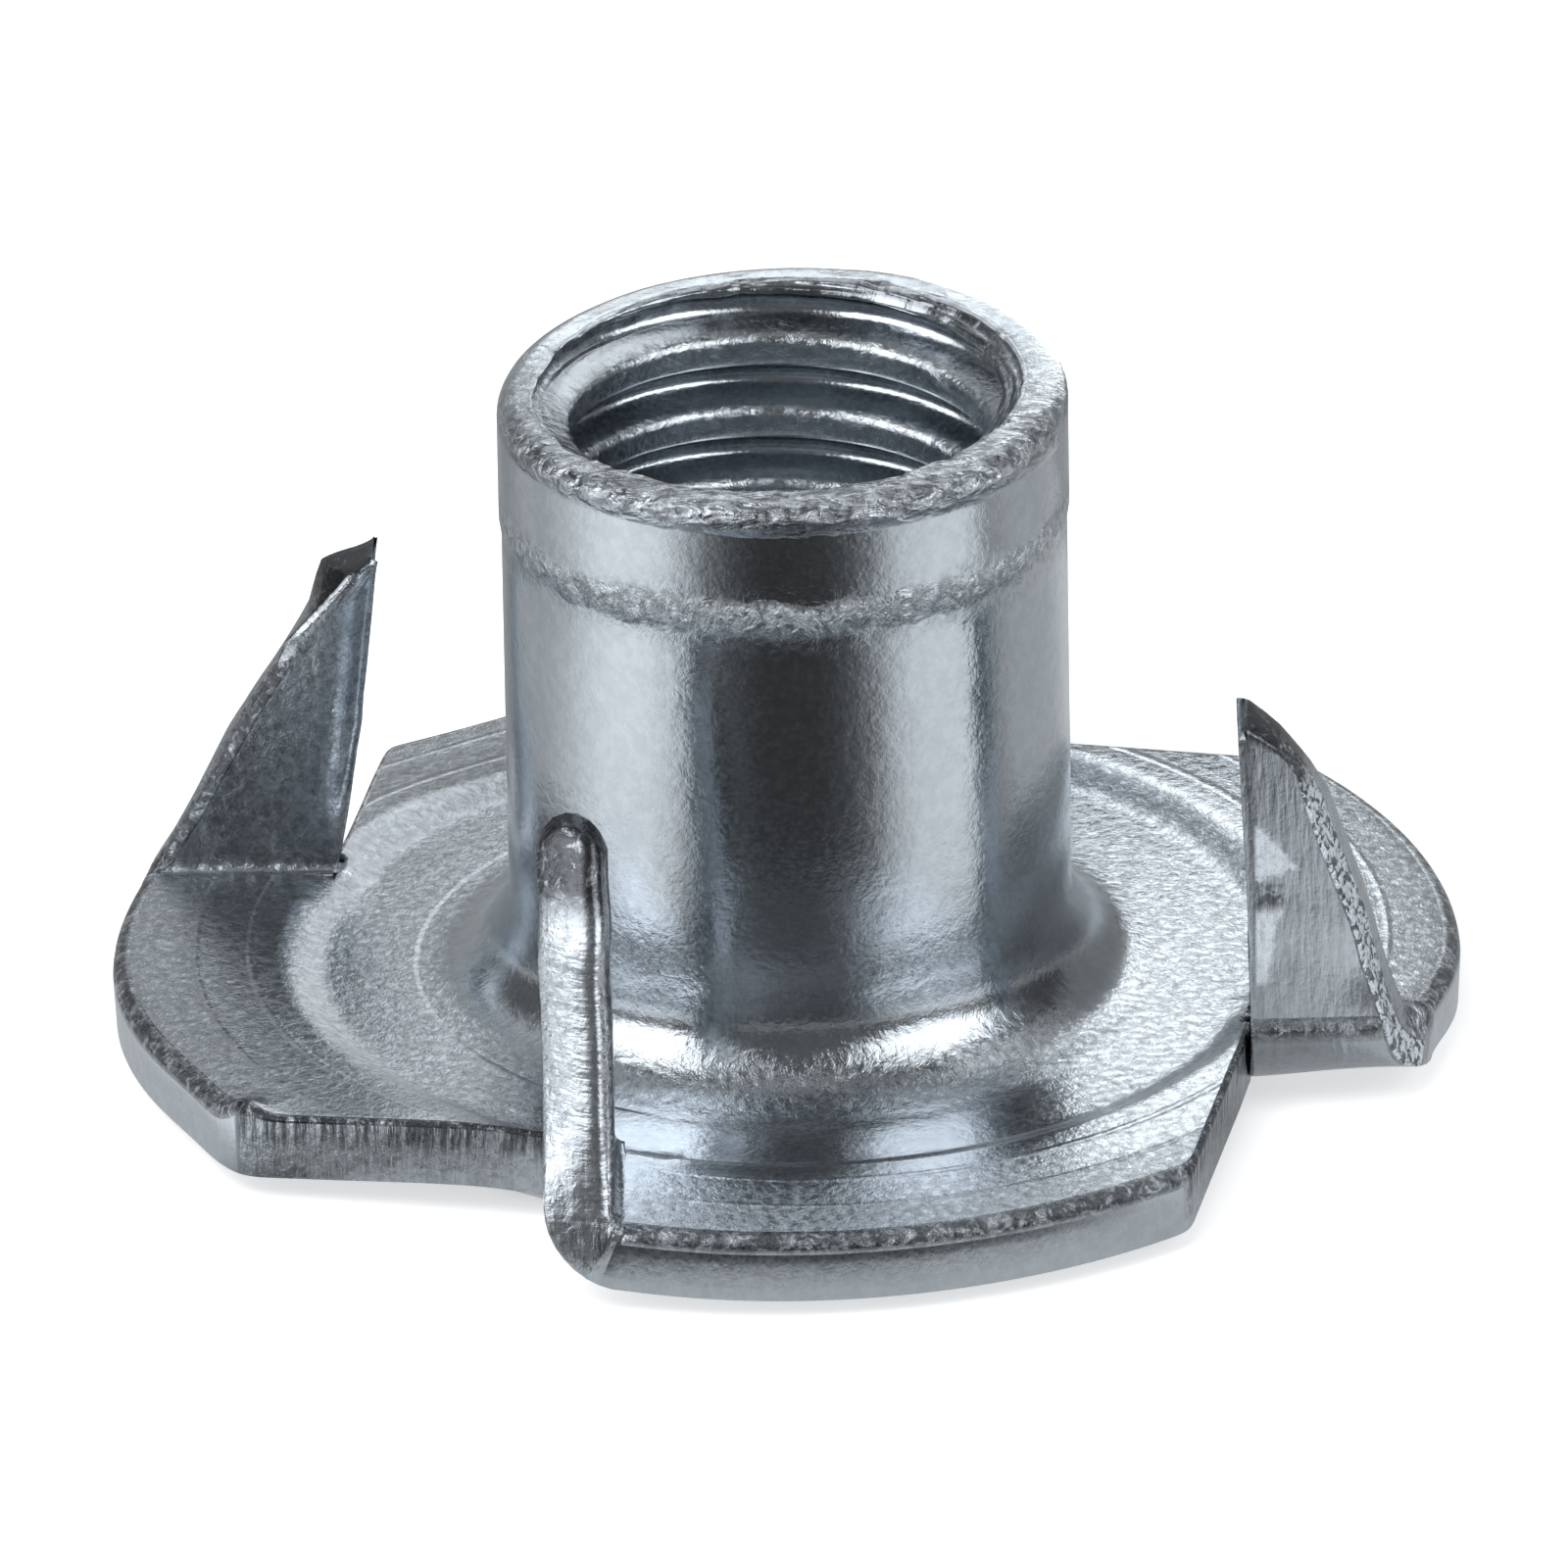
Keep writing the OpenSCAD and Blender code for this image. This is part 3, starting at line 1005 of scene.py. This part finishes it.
def noise(scale, detail, roughness, stretch=PLAIN, distortion=0.0):
    """Noise whose features are about 1 / scale metres across, stretched along the axes."""
    spread = nodes.new("ShaderNodeMapping")
    spread.inputs["Scale"].default_value = stretch
    links.new(place, spread.inputs["Vector"])
    pattern = nodes.new("ShaderNodeTexNoise")
    pattern.inputs["Scale"].default_value = scale
    pattern.inputs["Detail"].default_value = detail
    pattern.inputs["Roughness"].default_value = roughness
    pattern.inputs["Distortion"].default_value = distortion
    links.new(spread.outputs["Vector"], pattern.inputs["Vector"])
    return pattern.outputs["Fac"]


broad = noise(420, 2, 0.5)
ripple = noise(1100, 2, 0.5)
mottle = noise(4200, 4, 0.65)
grain = noise(11000, 3, 0.6)
hammered = noise(5200, 4, 0.7, distortion=0.6)
crinkle = noise(4200, 4, 0.7, distortion=1.2)
facets = noise(7500, 1, 0.5, distortion=0.9)
drawn = noise(8000, 3, 0.6, STREAKS_UP)
brushed = noise(9000, 3, 0.6, BRUSHED_UP)
sliced = noise(5200, 3, 0.6, STREAKS_LEVEL)
tool_lines = noise(9000, 1, 0.5, LINES_ROUND)
lip_facets = noise(3600, 2, 0.5, BITES, 0.5)
print(f"{len(nodes)} nodes after the patterns")

# %% [markdown]
# ## Where each tool has been
#
# A stamped part shows which tool touched each place: the flange is hammered, the barrel was drawn
# smooth, and the cuts are torn. The mesh carries some of these places as attributes, written when it
# was shaped. The others follow from the height and the distance from the axis. Each is a mask, 1
# inside and 0 outside, and its limits are in millimetres.

# %% Heights and distances, and masks made from them
split = nodes.new("ShaderNodeSeparateXYZ")
links.new(place, split.inputs["Vector"])
sideways = split.outputs["X"]
backwards = split.outputs["Y"]
up = split.outputs["Z"]
flat_place = nodes.new("ShaderNodeVectorMath")
flat_place.operation = "MULTIPLY"
flat_place.inputs[1].default_value = (1, 1, 0)
links.new(place, flat_place.inputs[0])
distance = nodes.new("ShaderNodeVectorMath")
distance.operation = "LENGTH"
links.new(flat_place.outputs["Vector"], distance.inputs[0])
from_axis = distance.outputs["Value"]


def beyond(value, first, last):
    """0 up to the first distance and 1 past the last, in mm."""
    return remap(value, first * MM, last * MM)


def within(value, first, last):
    """1 up to the first distance and 0 past the last, in mm."""
    return remap(value, first * MM, last * MM, 1.0, 0.0)


def band(value, first, last, soft):
    """1 between two distances and 0 outside them, in mm, with soft ends."""
    begins = beyond(value, first - soft, first + soft)
    return product(begins, within(value, last - soft, last + soft))


def attribute(name):
    read = nodes.new("ShaderNodeAttribute")
    read.attribute_name = name
    return read.outputs["Fac"]


print(f"{len(nodes)} nodes with the distances")

# %% The cuts and the prongs
sheared_mask = attribute("sheared")
rolled_mask = attribute("rolled")
prong_mask = attribute("prong")
wall_mask = attribute("wall")
# Where the torn edges of the prongs are, and how strongly a glint is painted on them.
torn_edge_and_painted_glint_mask = attribute("glitter")
sheet_depth = attribute("depth")
blade_edge_mask = product(sheared_mask, prong_mask)
cut_mask = combine("SUBTRACT", sheared_mask, blade_edge_mask)
upper_cut = product(cut_mask, remap(sheet_depth, 0.4, 0.65, 1.0, 0.15))
tip_mask = product(blade_edge_mask, beyond(up, 5.7, 6.4))
outer_blade = product(prong_mask, remap(sheet_depth, 0.6, 0.95))
inner_blade = product(prong_mask, remap(sheet_depth, 0.05, 0.4, 1.0, 0.0))
torn_strip = remap(torn_edge_and_painted_glint_mask, 0.5, 0.65)
print(f"{len(nodes)} nodes with the prongs")

# %% The flange and the root of the barrel
SLOPE_POLISH = 0.15
flange_mask = product(within(up, 1.3, 1.9), beyond(from_axis, 5.2, 6.0))
outer_rim = product(beyond(from_axis, 9.5, 9.9), flange_mask)
slope_mask = band(from_axis, 7.6, 8.3, 0.1)
front_floor = product(
    within(backwards, -5.5, -4.0),
    band(sideways, -4.2, 4.6, 0.5),
    within(from_axis, 8.2, 9.4),
)
polished = combine("MAXIMUM", product(slope_mask, SLOPE_POLISH), front_floor)
worked = combine("SUBTRACT", 1.0, combine("MAXIMUM", polished, wall_mask))
worked_flange = product(flange_mask, worked)
pressed_rings = combine(
    "ADD", band(from_axis, 8.78, 8.9, 0.05), band(from_axis, 9.72, 9.8, 0.05)
)
floor_step = product(beyond(from_axis, 6.1, 6.2), within(sideways, -3.5, -2.0))
root_ring = product(
    band(from_axis, 4.8, 6.0, 0.2), within(up, 2.6, 3.1), within(backwards, -3.5, -1.5)
)
# The barrel's root on the right, where shade is painted.
painted_shade_at_right_root = product(
    beyond(sideways, 3.0, 4.2), within(up, 3.0, 4.6), band(from_axis, 4.5, 5.4, 0.2)
)
print(f"{len(nodes)} nodes with the flange")

# %% The barrel and its mouth
WANDER = 0.6 * MM
on_barrel = beyond(from_axis, 4.3, 4.5)
wandering = combine("ADD", up, product(combine("SUBTRACT", ripple, 0.5), WANDER))
land_line = product(band(wandering, 9.25, 9.68, 0.14), on_barrel)
land_haze = product(band(wandering, 9.0, 9.8, 0.4), on_barrel)
crest_mask = within(from_axis, 3.5, 3.75)
mouth_mask = beyond(up, 10.9, 11.2)
front_lip = remap(backwards, 0.0, 2.5 * MM, 1.0, 0.25)
bitten_lip = product(mouth_mask, within(backwards, -2.2, 0.4))
inside_lip = product(within(from_axis, 3.9, 3.98), mouth_mask)
print(f"{len(nodes)} nodes with the barrel")

# %% [markdown]
# ## Relief too fine for the mesh
#
# Grain, streaks and crinkles are hundredths of a millimetre deep. As bumps they only tilt the surface
# where light meets it, which costs nothing in triangles. Each row of the list is a pattern in its
# place, and how strongly it shows.

# %% The bumps
BUMP_DEPTH = 0.03 * MM
height = total(
    (grain, 0.16),
    (mottle, 0.26),
    (ripple, 0.4),
    (product(hammered, flange_mask, worked), 0.95),
    (product(hammered, flange_mask, worked, outer_rim), 0.65),
    (product(hammered, root_ring), 0.8),
    (product(hammered, inner_blade), 0.5),
    (product(brushed, outer_blade), 0.6),
    (product(drawn, cut_mask), 3.6),
    (product(sliced, blade_edge_mask), 0.9),
    (product(facets, torn_strip), 2.8),
    (product(crinkle, torn_edge_and_painted_glint_mask), 2.0),
    (product(crinkle, rolled_mask), 3.0),
    (product(crinkle, land_line), 2.8),
    (product(crinkle, land_haze), 1.1),
    (product(crinkle, crest_mask), 0.9),
    (product(crinkle, mouth_mask, front_lip), 1.6),
    (product(lip_facets, bitten_lip), 5.0),
    (product(tool_lines, inside_lip), 3.0),
    (product(pressed_rings, flange_mask), 0.6),
    (product(floor_step, flange_mask), 0.9),
)
bump = nodes.new("ShaderNodeBump")
bump.inputs["Strength"].default_value = 1.0
bump.inputs["Distance"].default_value = BUMP_DEPTH
links.new(height, bump.inputs["Height"])
links.new(bump.outputs["Normal"], shader.inputs["Normal"])
print(f"{len(nodes)} nodes with the bumps")

# %% [markdown]
# ## Colour and gloss
# The plate is pale on smooth metal and darker in the pits that hammering leaves. Where the steel was
# torn, or is too sharp to hold the plate, it is nearly black. The same dark colour is also painted
# shade:
# a dark reflection on the right of the dish's front floor, and shade at the barrel's root on the right.
# It darkens the dish's slope, the rim's walls and broad patches a little too. Near white is painted
# light: glints on the torn edges of the prongs, and highlights on two flats low on the right prong's
# outer face, with a scrape between them.

# %% Painted highlights and a scrape on the right prong
uneven = combine("SUBTRACT", mottle, 0.5)
falling = total((up, 1.0), (sideways, 1.14), (uneven, 0.7 * MM))
rising = total((up, 1.0), (sideways, -0.267), (uneven, 0.7 * MM))
leaning = total((sideways, 1.0), (up, -0.218), (uneven, 0.3 * MM))
upper_flat = product(within(falling, 13.88, 14.08), beyond(rising, 2.28, 2.42))
lower_flat = product(within(leaning, 7.06, 7.16), band(up, 2.5, 3.8, 0.08))
right_blade = product(outer_blade, beyond(sideways, 7.5, 7.56))
# The two flats are painted white as highlights.
flats = product(combine("MAXIMUM", upper_flat, lower_flat), right_blade)
flats = product(flats, remap(grain, 0.2, 0.6, 0.5, 1.0))
scraped = product(band(up, 3.9, 4.3, 0.08), right_blade, within(sideways, 7.9, 8.1))
scraped = product(scraped, remap(crinkle, 0.4, 0.55))
# Bright facets on the torn strip are painted glints.
painted_glints = product(torn_strip, remap(facets, 0.47, 0.55))
painted_highlights = combine("MAXIMUM", flats, painted_glints)
print(f"{len(nodes)} nodes with the bright places")

# %% The colours
PALE_ZINC = (0.64, 0.685, 0.73, 1)
PITTED_ZINC = (0.33, 0.35, 0.375, 1)
# Near white steel, used only for painted glints and painted highlights.
PAINTED_HIGHLIGHT_WHITE = (0.82, 0.89, 0.96, 1)
# Nearly black, for torn steel and for painted shade.
TORN_STEEL_AND_PAINTED_SHADE = (0.10, 0.105, 0.115, 1)


def mix(factor, first, second):
    """A colour that goes from the first to the second as the factor rises."""
    blend = nodes.new("ShaderNodeMix")
    blend.data_type = "RGBA"
    blend.clamp_factor = True
    links.new(factor, blend.inputs["Factor"])
    link_or_set(blend.inputs["A"], first)
    link_or_set(blend.inputs["B"], second)
    return blend.outputs["Result"]


pits = total((worked_flange, 0.4), (inner_blade, 0.5))
pits = product(remap(hammered, 0.42, 0.6), pits)
pitted = total((pits, 1.0), (remap(mottle, 0.36, 0.62), 0.18))
# Torn steel, and painted shade: a dark reflection on the right of the dish's front floor, and shade at
# the barrel's root on the right.
torn_and_painted_shade = total(
    (product(rolled_mask, remap(crinkle, 0.36, 0.56)), 0.85),
    (product(upper_cut, remap(drawn, 0.42, 0.58)), 0.75),
    (product(tip_mask, remap(crinkle, 0.25, 0.48)), 0.9),
    (product(outer_blade, remap(brushed, 0.5, 0.7)), 0.16),
    (product(torn_strip, remap(facets, 0.4, 0.49, 1.0, 0.0)), 0.7),
    (product(bitten_lip, remap(lip_facets, 0.4, 0.56, 1.0, 0.0)), 0.6),
    (product(inside_lip, remap(tool_lines, 0.35, 0.6)), 0.6),
    (product(land_haze, remap(crinkle, 0.45, 0.65)), 0.35),
    # A painted dark reflection on the right half of the dish's front floor.
    (product(front_floor, beyond(sideways, -1.5, 0.0)), 0.2),
    (product(slope_mask, flange_mask), 0.15),
    # Painted shade at the barrel's root on the right.
    (painted_shade_at_right_root, 0.5),
    (wall_mask, 0.08),
    (scraped, 0.7),
    (remap(broad, 0.4, 0.7), 0.08),
)
plate = mix(pitted, PALE_ZINC, PITTED_ZINC)
# Painted glints on the torn edges and painted highlights on the flats turn the plate near white.
plate_with_painted_highlights = mix(combine("MAXIMUM", torn_edge_and_painted_glint_mask, painted_highlights), plate, PAINTED_HIGHLIGHT_WHITE)
links.new(mix(torn_and_painted_shade, plate_with_painted_highlights, TORN_STEEL_AND_PAINTED_SHADE), shader.inputs["Base Color"])
print(f"{len(nodes)} nodes with the colours")

# %% The gloss, and the plate goes on
LEAST_ROUGH = 0.11
BRIGHT_LOSS = 0.75
rough = total(
    (remap(grain, 0.3, 0.7), 0.10),
    (worked_flange, 0.06),
    (product(outer_rim, worked), 0.06),
    (wall_mask, 0.12),
)
links.new(combine("ADD", rough, LEAST_ROUGH), shader.inputs["Roughness"])
# Painted highlights lose most of their metal, so that they stay white under any light.
dulled = product(painted_highlights, BRIGHT_LOSS)
links.new(combine("SUBTRACT", 1.0, dulled), shader.inputs["Metallic"])
nut.data.materials.clear()
nut.data.materials.append(zinc)
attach(nut, "root")
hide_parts("tee_nut")
print(f"plated, with {len(nodes)} nodes in {zinc.name}")

# %% [markdown]
# ## The floor
#
# Small hardware is shown on white paper, and it casts a faint shadow there. The paper glows a little
# where the camera or a reflection looks at it, so that it reads as white without more light on the
# nut.

# %% The pale paper
FLOOR_SIZE = 1.6
PAPER = (0.88, 0.88, 0.88, 1)
PAPER_ROUGH = 0.9
SEEN_GLOW = 0.5
MIRRORED_GLOW = 0.1
deselect_all()
bpy.ops.mesh.primitive_plane_add(size=FLOOR_SIZE)
floor = bpy.context.active_object
floor.name = "floor"
paper = bpy.data.materials.new("pale_paper")
paper.use_nodes = True
paper_tree = paper.node_tree
paper_shader = paper_tree.nodes["Principled BSDF"]
paper_shader.inputs["Base Color"].default_value = PAPER
paper_shader.inputs["Roughness"].default_value = PAPER_ROUGH
paper_shader.inputs["Specular IOR Level"].default_value = 0.0
paper_shader.inputs["Emission Color"].default_value = (1, 1, 1, 1)
light_path = paper_tree.nodes.new("ShaderNodeLightPath").outputs
seen = maths(paper_tree, "MULTIPLY", light_path["Is Camera Ray"], SEEN_GLOW)
paper_glow = maths(
    paper_tree, "MULTIPLY_ADD", light_path["Is Glossy Ray"], MIRRORED_GLOW, seen
)
link_or_set(paper_shader.inputs["Emission Strength"], paper_glow)
floor.data.materials.append(paper)
floor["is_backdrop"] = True
print(f"floor {floor.dimensions.x:.1f} m across")

# %% [markdown]
# ## Cards round the nut
#
# Metal shows its surroundings more than itself, so it needs something to show. In a studio it gets
# white and black cards round it, which draw the pale and dark bands along the barrel. The barrel
# mirrors what lies on the floor, so three flat rings lie there, whose tone changes with the bearing:
# 0 degrees is towards the camera, and 90 is to the right. The flange mirrors what stands behind the
# nut, so upright cards stand there. Only reflections see the cards, and they shade nothing.

# %% Helpers for cards
CARD_TINT = (0.955, 0.985, 1.0, 1)


def make_card(name, corners, quads, tone):
    """A mesh that glows in one tone and that only the metal's reflections see."""
    stuff = bpy.data.materials.new(name)
    stuff.use_nodes = True
    card_shader = stuff.node_tree.nodes["Principled BSDF"]
    card_shader.inputs["Base Color"].default_value = (0, 0, 0, 1)
    card_shader.inputs["Specular IOR Level"].default_value = 0.0
    card_shader.inputs["Emission Color"].default_value = CARD_TINT
    card_shader.inputs["Emission Strength"].default_value = tone
    mesh = bpy.data.meshes.new(name)
    mesh.from_pydata(corners, [], quads)
    mesh.materials.append(stuff)
    card = bpy.data.objects.new(name, mesh)
    bpy.context.scene.collection.objects.link(card)
    card.visible_camera = False
    card.visible_diffuse = False
    card.visible_shadow = False
    card.visible_transmission = False
    card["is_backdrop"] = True
    return card


def tones_by_bearing(stuff, tones):
    """Makes a card's tone follow a list of (bearing, tone), in degrees from the camera's side."""
    tree = stuff.node_tree
    where = tree.nodes.new("ShaderNodeTexCoord")
    parts = tree.nodes.new("ShaderNodeSeparateXYZ")
    tree.links.new(where.outputs["Object"], parts.inputs["Vector"])
    toward = maths(tree, "MULTIPLY", parts.outputs["Y"], -1.0)
    bearing = maths(tree, "ARCTAN2", parts.outputs["X"], toward)
    share = tree.nodes.new("ShaderNodeMapRange")
    share.inputs["From Min"].default_value = -math.pi
    share.inputs["From Max"].default_value = math.pi
    tree.links.new(bearing, share.inputs["Value"])
    ramp = tree.nodes.new("ShaderNodeValToRGB")
    stops = ramp.color_ramp.elements
    for _ in range(len(tones) - 2):
        stops.new(0.5)
    for stop, (angle, tone) in zip(stops, tones):
        stop.position = (angle + 180) / 360
        stop.color = (tone, tone, tone, 1)
    tree.links.new(share.outputs["Result"], ramp.inputs["Fac"])
    strength = tree.nodes["Principled BSDF"].inputs["Emission Strength"]
    tree.links.new(ramp.outputs["Color"], strength)


print(f"cards glow in {CARD_TINT[:3]}")

# %% Rings on the floor: inner and outer radius in mm, then tones by bearing
RING_STEPS = 96
RING_Z = 0.1 * MM
RINGS = {
    "far_ring": (12.3, 90, [
        (-180, 0.5), (-139, 0.3), (-120, 0.48), (-106, 0.47), (-93, 0.62), (-82, 0.85),
        (-70, 1.05), (-60, 1.05), (-52, 1.0), (-44, 0.86), (-36, 0.46), (-29, 0.2),
        (-20, 0.08), (-10, 0.045), (12, 0.045), (20, 0.07), (29, 0.15), (36, 0.48),
        (45, 0.82), (55, 0.88), (70, 0.9), (76, 0.82), (82, 0.26), (87, 0.36),
        (93, 0.46), (122, 0.48), (142, 0.64), (180, 0.5),
    ]),
    "middle_ring": (10.4, 12.3, [
        (-180, 0.45), (-100, 0.62), (-62, 0.62), (-52, 0.15), (-30, 0.12), (-24, 0.6),
        (40, 0.6), (50, 0.55), (80, 0.6), (100, 0.6), (180, 0.45),
    ]),
    "near_ring": (4, 10.4, [
        (-180, 0.4), (-70, 0.5), (-50, 0.55), (-20, 0.55), (40, 0.45), (60, 0.3),
        (80, 0.6), (100, 0.5), (180, 0.4),
    ]),
}
ring_quads = []
for i in range(RING_STEPS):
    j = (i + 1) % RING_STEPS
    ring_quads.append((i, RING_STEPS + i, RING_STEPS + j, j))
for name, (near, far, tones) in RINGS.items():
    corners = []
    for reach in (near * MM, far * MM):
        for i in range(RING_STEPS):
            turn = 2 * math.pi * i / RING_STEPS
            corners.append((math.cos(turn) * reach, math.sin(turn) * reach, RING_Z))
    ring = make_card(name, corners, ring_quads, 1.0)
    tones_by_bearing(ring.active_material, tones)
print(f"{len(RINGS)} rings of {RING_STEPS} faces")

# %% Upright cards
# Each row gives the left, right, lower and upper edge and the distance behind the axis, in mm, and
# then the tone.
CARDS = {
    "low_right_card": (3, 9.4, 1.5, 4.4, 14, 0.4),
    "mid_right_card": (3, 9.4, 4.4, 7.2, 14, 0.03),
    "high_right_card": (3, 9.4, 7.2, 14, 14, 2.9),
    "lip_right_card": (3, 9.4, 14, 25, 14, 1.1),
    "far_right_card": (9.4, 30, 1.5, 25, 14, 0.35),
    "low_left_card": (-8, -3, 2, 13.5, 30, 0.3),
    "high_left_card": (-8, -3, 13.5, 20, 30, 0.7),
    "lip_card": (-8, 3, 20, 45, 30, 1.6),
    "far_left_card": (-24, -8, 2, 45, 30, 0.38),
}
for name, (left, right, low_edge, high_edge, away, tone) in CARDS.items():
    outline_mm = [
        (left, away, low_edge), (right, away, low_edge),
        (right, away, high_edge), (left, away, high_edge),
    ]
    corners = [tuple(number * MM for number in corner) for corner in outline_mm]
    make_card(name, corners, [(0, 1, 2, 3)], tone)
print(f"{len(CARDS)} upright cards")

# %% [markdown]
# ## The studio's light
#
# A little light comes from all round, and more from a few patches on the studio's walls. They are made
# on the world's background, so reflections show them and the paper is lit by them too. Each patch has
# a bearing and an elevation, an angle within which it is full, an angle where it ends, and a strength.
# One lamp above gives the nut its shadow.

# %% Glowing patches on the walls
WALL = 0.12
WALL_TINT = (0.97, 0.985, 1.0, 1)
GLOWS = [
    (-60, 38, 20, 31, 2.3),
    (60, 34, 17, 29, 2.1),
    (0, 86, 4, 12, 0.5),
    (136, 50, 8, 20, 0.95),
    (-136, 50, 8, 20, 0.4),
    (156, 14, 12, 28, 0.9),
    (180, 30, 5, 40, 0.12),
]


def aim(bearing, elevation):
    """A direction of length 1 from the nut."""
    turn = math.radians(bearing)
    rise = math.radians(elevation)
    return Vector(
        (math.sin(turn) * math.cos(rise), -math.cos(turn) * math.cos(rise), math.sin(rise))
    )


world = bpy.data.worlds.new("studio")
bpy.context.scene.world = world
world.use_nodes = True
studio = world.node_tree
direction = studio.nodes.new("ShaderNodeTexCoord").outputs["Generated"]
light = WALL
for bearing, elevation, full, ends, strength in GLOWS:
    near_aim = studio.nodes.new("ShaderNodeVectorMath")
    near_aim.operation = "DOT_PRODUCT"
    near_aim.inputs[1].default_value = aim(bearing, elevation)
    studio.links.new(direction, near_aim.inputs[0])
    least = math.cos(math.radians(ends))
    most = math.cos(math.radians(full))
    patch = remap(near_aim.outputs["Value"], least, most, 0.0, strength)
    light = maths(studio, "ADD", patch, light)
background = studio.nodes["Background"]
background.inputs["Color"].default_value = WALL_TINT
studio.links.new(light, background.inputs["Strength"])
print(f"{len(GLOWS)} patches of light")

# %% The lamp above
LAMP_AIM = aim(-30, 60)
LAMP_AWAY = 0.5
LAMP_SIZE = 0.3
LAMP_POWER = 1.0
lamp = bpy.data.lights.new("top_softbox", "AREA")
lamp.shape = "SQUARE"
lamp.size = LAMP_SIZE
lamp.energy = LAMP_POWER
softbox = bpy.data.objects.new("top_softbox", lamp)
bpy.context.scene.collection.objects.link(softbox)
softbox.location = LAMP_AIM * LAMP_AWAY
softbox.rotation_euler = LAMP_AIM.to_track_quat("Z", "Y").to_euler()
softbox.visible_glossy = False
print(f"{softbox.name} at {softbox.location.length:.1f} m")

# %% [markdown]
# ## The camera
#
# A small part is taken from some way off with a long lens, so that it shows almost no perspective.
# The camera looks down at it by 26 degrees and leans by one. Its matrix is put together from the
# directions that are right, up and back in the view.

# %% Place the camera
ELEVATION = math.radians(26.0)
ROLL = -0.0173
DISTANCE = 0.5
SENSOR = 36
IMAGE_WIDTH = 1600
DOTS_PER_METRE = 62300
AIM_RIGHT = -0.1445 * MM
AIM_UP = 3.852 * MM
back = Vector((0, -math.cos(ELEVATION), math.sin(ELEVATION)))
level = Vector((1, 0, 0))
upward = Vector((0, math.sin(ELEVATION), math.cos(ELEVATION)))
right_way = math.cos(ROLL) * level + math.sin(ROLL) * upward
up_way = -math.sin(ROLL) * level + math.cos(ROLL) * upward
lens = bpy.data.cameras.new("camera")
lens.sensor_width = SENSOR
lens.lens = DOTS_PER_METRE * DISTANCE / IMAGE_WIDTH * SENSOR
camera = bpy.data.objects.new("camera", lens)
bpy.context.scene.collection.objects.link(camera)
camera.matrix_world = Matrix((right_way, up_way, back)).transposed().to_4x4()
camera.location = right_way * AIM_RIGHT + up_way * AIM_UP + back * DISTANCE
bpy.context.scene.camera = camera
bpy.context.scene.view_settings.view_transform = "Standard"
print(f"lens {lens.lens:.0f} mm at {DISTANCE} m")

# %% [markdown]
# ## Sizes
#
# The dressed nut has to fill the same space as the CAD model. Its box is measured, and its height is
# printed, so that it can be set beside the CAD box's sizes printed at the start.

# %% Measure the dressed nut's box
visual_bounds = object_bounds()
dressed_low, dressed_high = visual_bounds
print(f"dressed nut {(dressed_high[2] - dressed_low[2]) / MM:.2f} mm tall")
